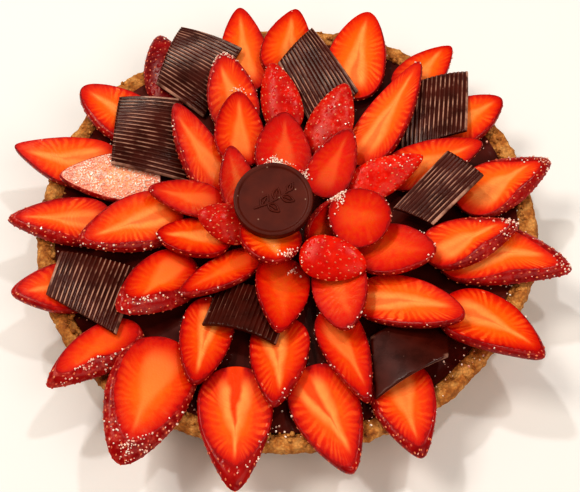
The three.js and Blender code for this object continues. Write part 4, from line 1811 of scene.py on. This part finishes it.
@dataclass
class ShortcrustShell:
    """The baked shell with its crumbly rim."""

    node: bpy.types.Object
    lump: float = 1.0 * MM
    lump_size: float = 4.5 * MM
    crumb: float = 0.55 * MM
    crumb_size: float = 1.7 * MM
    rim_inside: float = 103 * MM  # faces farther out than this are the rim and outer wall
    rough_from: float = 104.5 * MM
    smooth_foot: float = 2 * MM
    foot_blend: float = 6 * MM

    def build(self) -> None:
        """Builds the shell from its CAD node, with lumps and crumb in relief."""
        piece = copy_node(self.node, "shortcrust_shell")
        enter_on_faces(piece, self._shows)
        bpy.ops.mesh.subdivide(number_cuts=5)
        bpy.ops.object.mode_set(mode="OBJECT")
        self._roughen(piece)
        piece.data.materials.append(BakedShortcrust().build())
        shade(piece)
        place_piece(piece, "crust", [self.node.name], "the shell")

    def _shows(self, face: bmesh.types.BMFace) -> bool:
        """Chooses the faces of the outer wall and the rim.

        Args:
            face: A face of the shell.

        Returns:
            Whether it is one of them.
        """
        middle, normal = face.calc_center_median(), face.normal
        outside = math.hypot(middle.x, middle.y) > self.rim_inside and middle.z > 0.5 * MM
        return outside and (normal.x * middle.x + normal.y * middle.y > 0 or normal.z > 0.3)

    def _roughen(self, piece: bpy.types.Object) -> None:
        """Pushes the outer wall and rim in and out.

        Args:
            piece: The shell.
        """
        mesh = piece.data
        normals = [v.normal.copy() for v in mesh.vertices]
        for vertex, normal in zip(mesh.vertices, normals):
            at = vertex.co
            if math.hypot(at.x, at.y) < self.rough_from or at.z < self.smooth_foot:
                continue
            height = min(1.0, (at.z - self.smooth_foot) / self.foot_blend)
            lump = noise.noise(at / self.lump_size)
            crumb = noise.turbulence(at / self.crumb_size, 2, False) - 0.5
            vertex.co = at + normal * (height * (self.lump * lump + self.crumb * crumb))


@dataclass
class LooseCrumbs:
    """Crumbs of shortcrust along the rim and on the filling's edge."""

    count: int = 420
    reach: tuple[float, float] = (109.5, 2.2)  # millimetres, middle and spread
    within: tuple[float, float] = (101 * MM, 113.5 * MM)
    rim_inside: float = 106 * MM
    rim_top: float = 25.4 * MM
    filling_top: float = 24.3 * MM
    rim_sizes: tuple[float, float] = (0.6, 1.5)  # millimetres
    filling_sizes: tuple[float, float] = (0.4, 0.9)

    def build(self) -> None:
        """Lays the crumbs."""
        grains = LooseGrains.of(
            "shortcrust_crumbs",
            bpy.ops.mesh.primitive_ico_sphere_add,
            subdivisions=1,
            radius=1,
        )
        dice = random.Random(5)
        nearest, farthest = self.within
        for _ in range(self.count):
            bearing = dice.uniform(0, FULL_TURN)
            reach = dice.gauss(*self.reach) * MM
            if not nearest < reach < farthest:
                continue
            on_rim = reach > self.rim_inside
            height = self.rim_top if on_rim else self.filling_top
            size = dice.uniform(*(self.rim_sizes if on_rim else self.filling_sizes)) * MM
            sides = [size * dice.uniform(0.6, 1.0) for _ in range(3)]
            at = Matrix.Translation(
                (reach * math.cos(bearing), reach * math.sin(bearing), height)
            )
            turn = Matrix.Rotation(dice.uniform(0, FULL_TURN), 4, "Z")
            lean = Matrix.Rotation(dice.uniform(-1, 1), 4, "X")
            grains.frames.append(at @ turn @ lean @ Matrix.Diagonal(sides + [1]))
        finish = BakedShortcrust(name="shortcrust_crumb").build()
        grains.build(finish, "crust", smooth=True)


@dataclass(frozen=True)
class SoftLamp:
    """A square area lamp that is aimed at the tart, with its power in watts."""

    name: str
    place: tuple[float, float, float]
    size: float
    power: float
    colour: tuple[float, float, float]

    AIM = Vector((0, 0, 0.03))

    def build(self) -> None:
        """Hangs the lamp."""
        lamp = bpy.data.lights.new(self.name, "AREA")
        lamp.size = self.size
        lamp.energy = self.power
        lamp.color = self.colour
        holder = add_object(self.name, lamp)
        holder.location = self.place
        aim = self.AIM - Vector(self.place)
        holder.rotation_euler = aim.to_track_quat("-Z", "Y").to_euler()


WARM = (1.0, 0.88, 0.74)
PALE_WARM = (1.0, 0.94, 0.86)


@dataclass
class Studio:
    """The floor, the lights and the camera.

    Two broad lamps light the tart, and two small ones behind it put glints on the ridges of
    the chocolate, whose pale crest lines are painted highlights besides.
    """

    picture: tuple[int, int] = (580, 492)
    focal_pixels: float = 1163.7
    elevation: float = math.radians(59)
    distance: float = 0.560
    centre_pixel: tuple[float, float] = (286.84, 244.76)
    sensor: float = 36
    sky: tuple[float, float, float, float] = (1.0, 0.84, 0.68, 1.0)
    sky_strength: float = 0.27
    lamps: tuple[SoftLamp, ...] = (
        SoftLamp("light_left", (-1.5, 0.3, 2.5), 0.9, 34.0, WARM),
        SoftLamp("light_front", (1.4, -1.5, 2.2), 2.0, 34.0, WARM),
        SoftLamp("light_back_small", (-0.71, 0.91, 1.63), 0.12, 10.0, PALE_WARM),
        SoftLamp("light_right_small", (0.63, 0.53, 1.82), 0.12, 7.0, PALE_WARM),
    )

    def build(self) -> None:
        """Builds the stage."""
        floor = add_primitive(bpy.ops.mesh.primitive_plane_add, "floor", size=8)
        floor.data.materials.append(PaleBoard().build())
        for lamp in self.lamps:
            lamp.build()
        self._sky()
        self._camera()
        settings = bpy.context.scene.view_settings
        settings.view_transform = "Standard"
        settings.look = "Medium High Contrast"
        settings.exposure = -0.1

    def _sky(self) -> None:
        """Sets the even light that comes from all round."""
        world = bpy.data.worlds.new("studio")
        world.use_nodes = True
        background = world.node_tree.nodes["Background"]
        background.inputs["Color"].default_value = self.sky
        background.inputs["Strength"].default_value = self.sky_strength
        bpy.context.scene.world = world

    def _camera(self) -> None:
        """Sets the camera at the photograph's angle."""
        width, height = self.picture
        lens = bpy.data.cameras.new("camera")
        lens.sensor_width = self.sensor
        lens.lens = self.sensor * self.focal_pixels / width
        lens.shift_x = (width / 2 - self.centre_pixel[0]) / width
        lens.shift_y = (self.centre_pixel[1] - height / 2) / width
        lens.clip_start = 0.01
        camera = add_object("camera", lens)
        back, up = math.cos(self.elevation), math.sin(self.elevation)
        camera.location = (0, -self.distance * back, self.distance * up)
        camera.rotation_euler = (math.pi / 2 - self.elevation, 0, 0)
        bpy.context.scene.camera = camera


def clear_scene() -> None:
    """Takes away what Blender starts with."""
    for thing in list(bpy.data.objects):
        bpy.data.objects.remove(thing)


def main() -> None:
    """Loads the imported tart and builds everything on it."""
    logging.basicConfig(level=logging.INFO, format="%(message)s")
    clear_scene()
    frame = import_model()
    nodes = frame["nodes"]
    skin = StrawberrySkin().build()
    slices = BerrySlices(nodes)
    slices.build(skin)
    whole = WholeBerry(nodes[WholeBerry.NODE], skin)
    whole.build()
    BerrySeeds(slices.shapes, whole.seeds).build()
    CombedLeaves(nodes).build()
    Medallion(nodes["chocolate_medallion"]).build()
    SugarDusting(slices.shapes).build()
    GanacheFilling(nodes["ganache"]).build()
    ShortcrustShell(nodes["crust"]).build()
    LooseCrumbs().build()
    Studio().build()


if __name__ == "__main__":
    main()
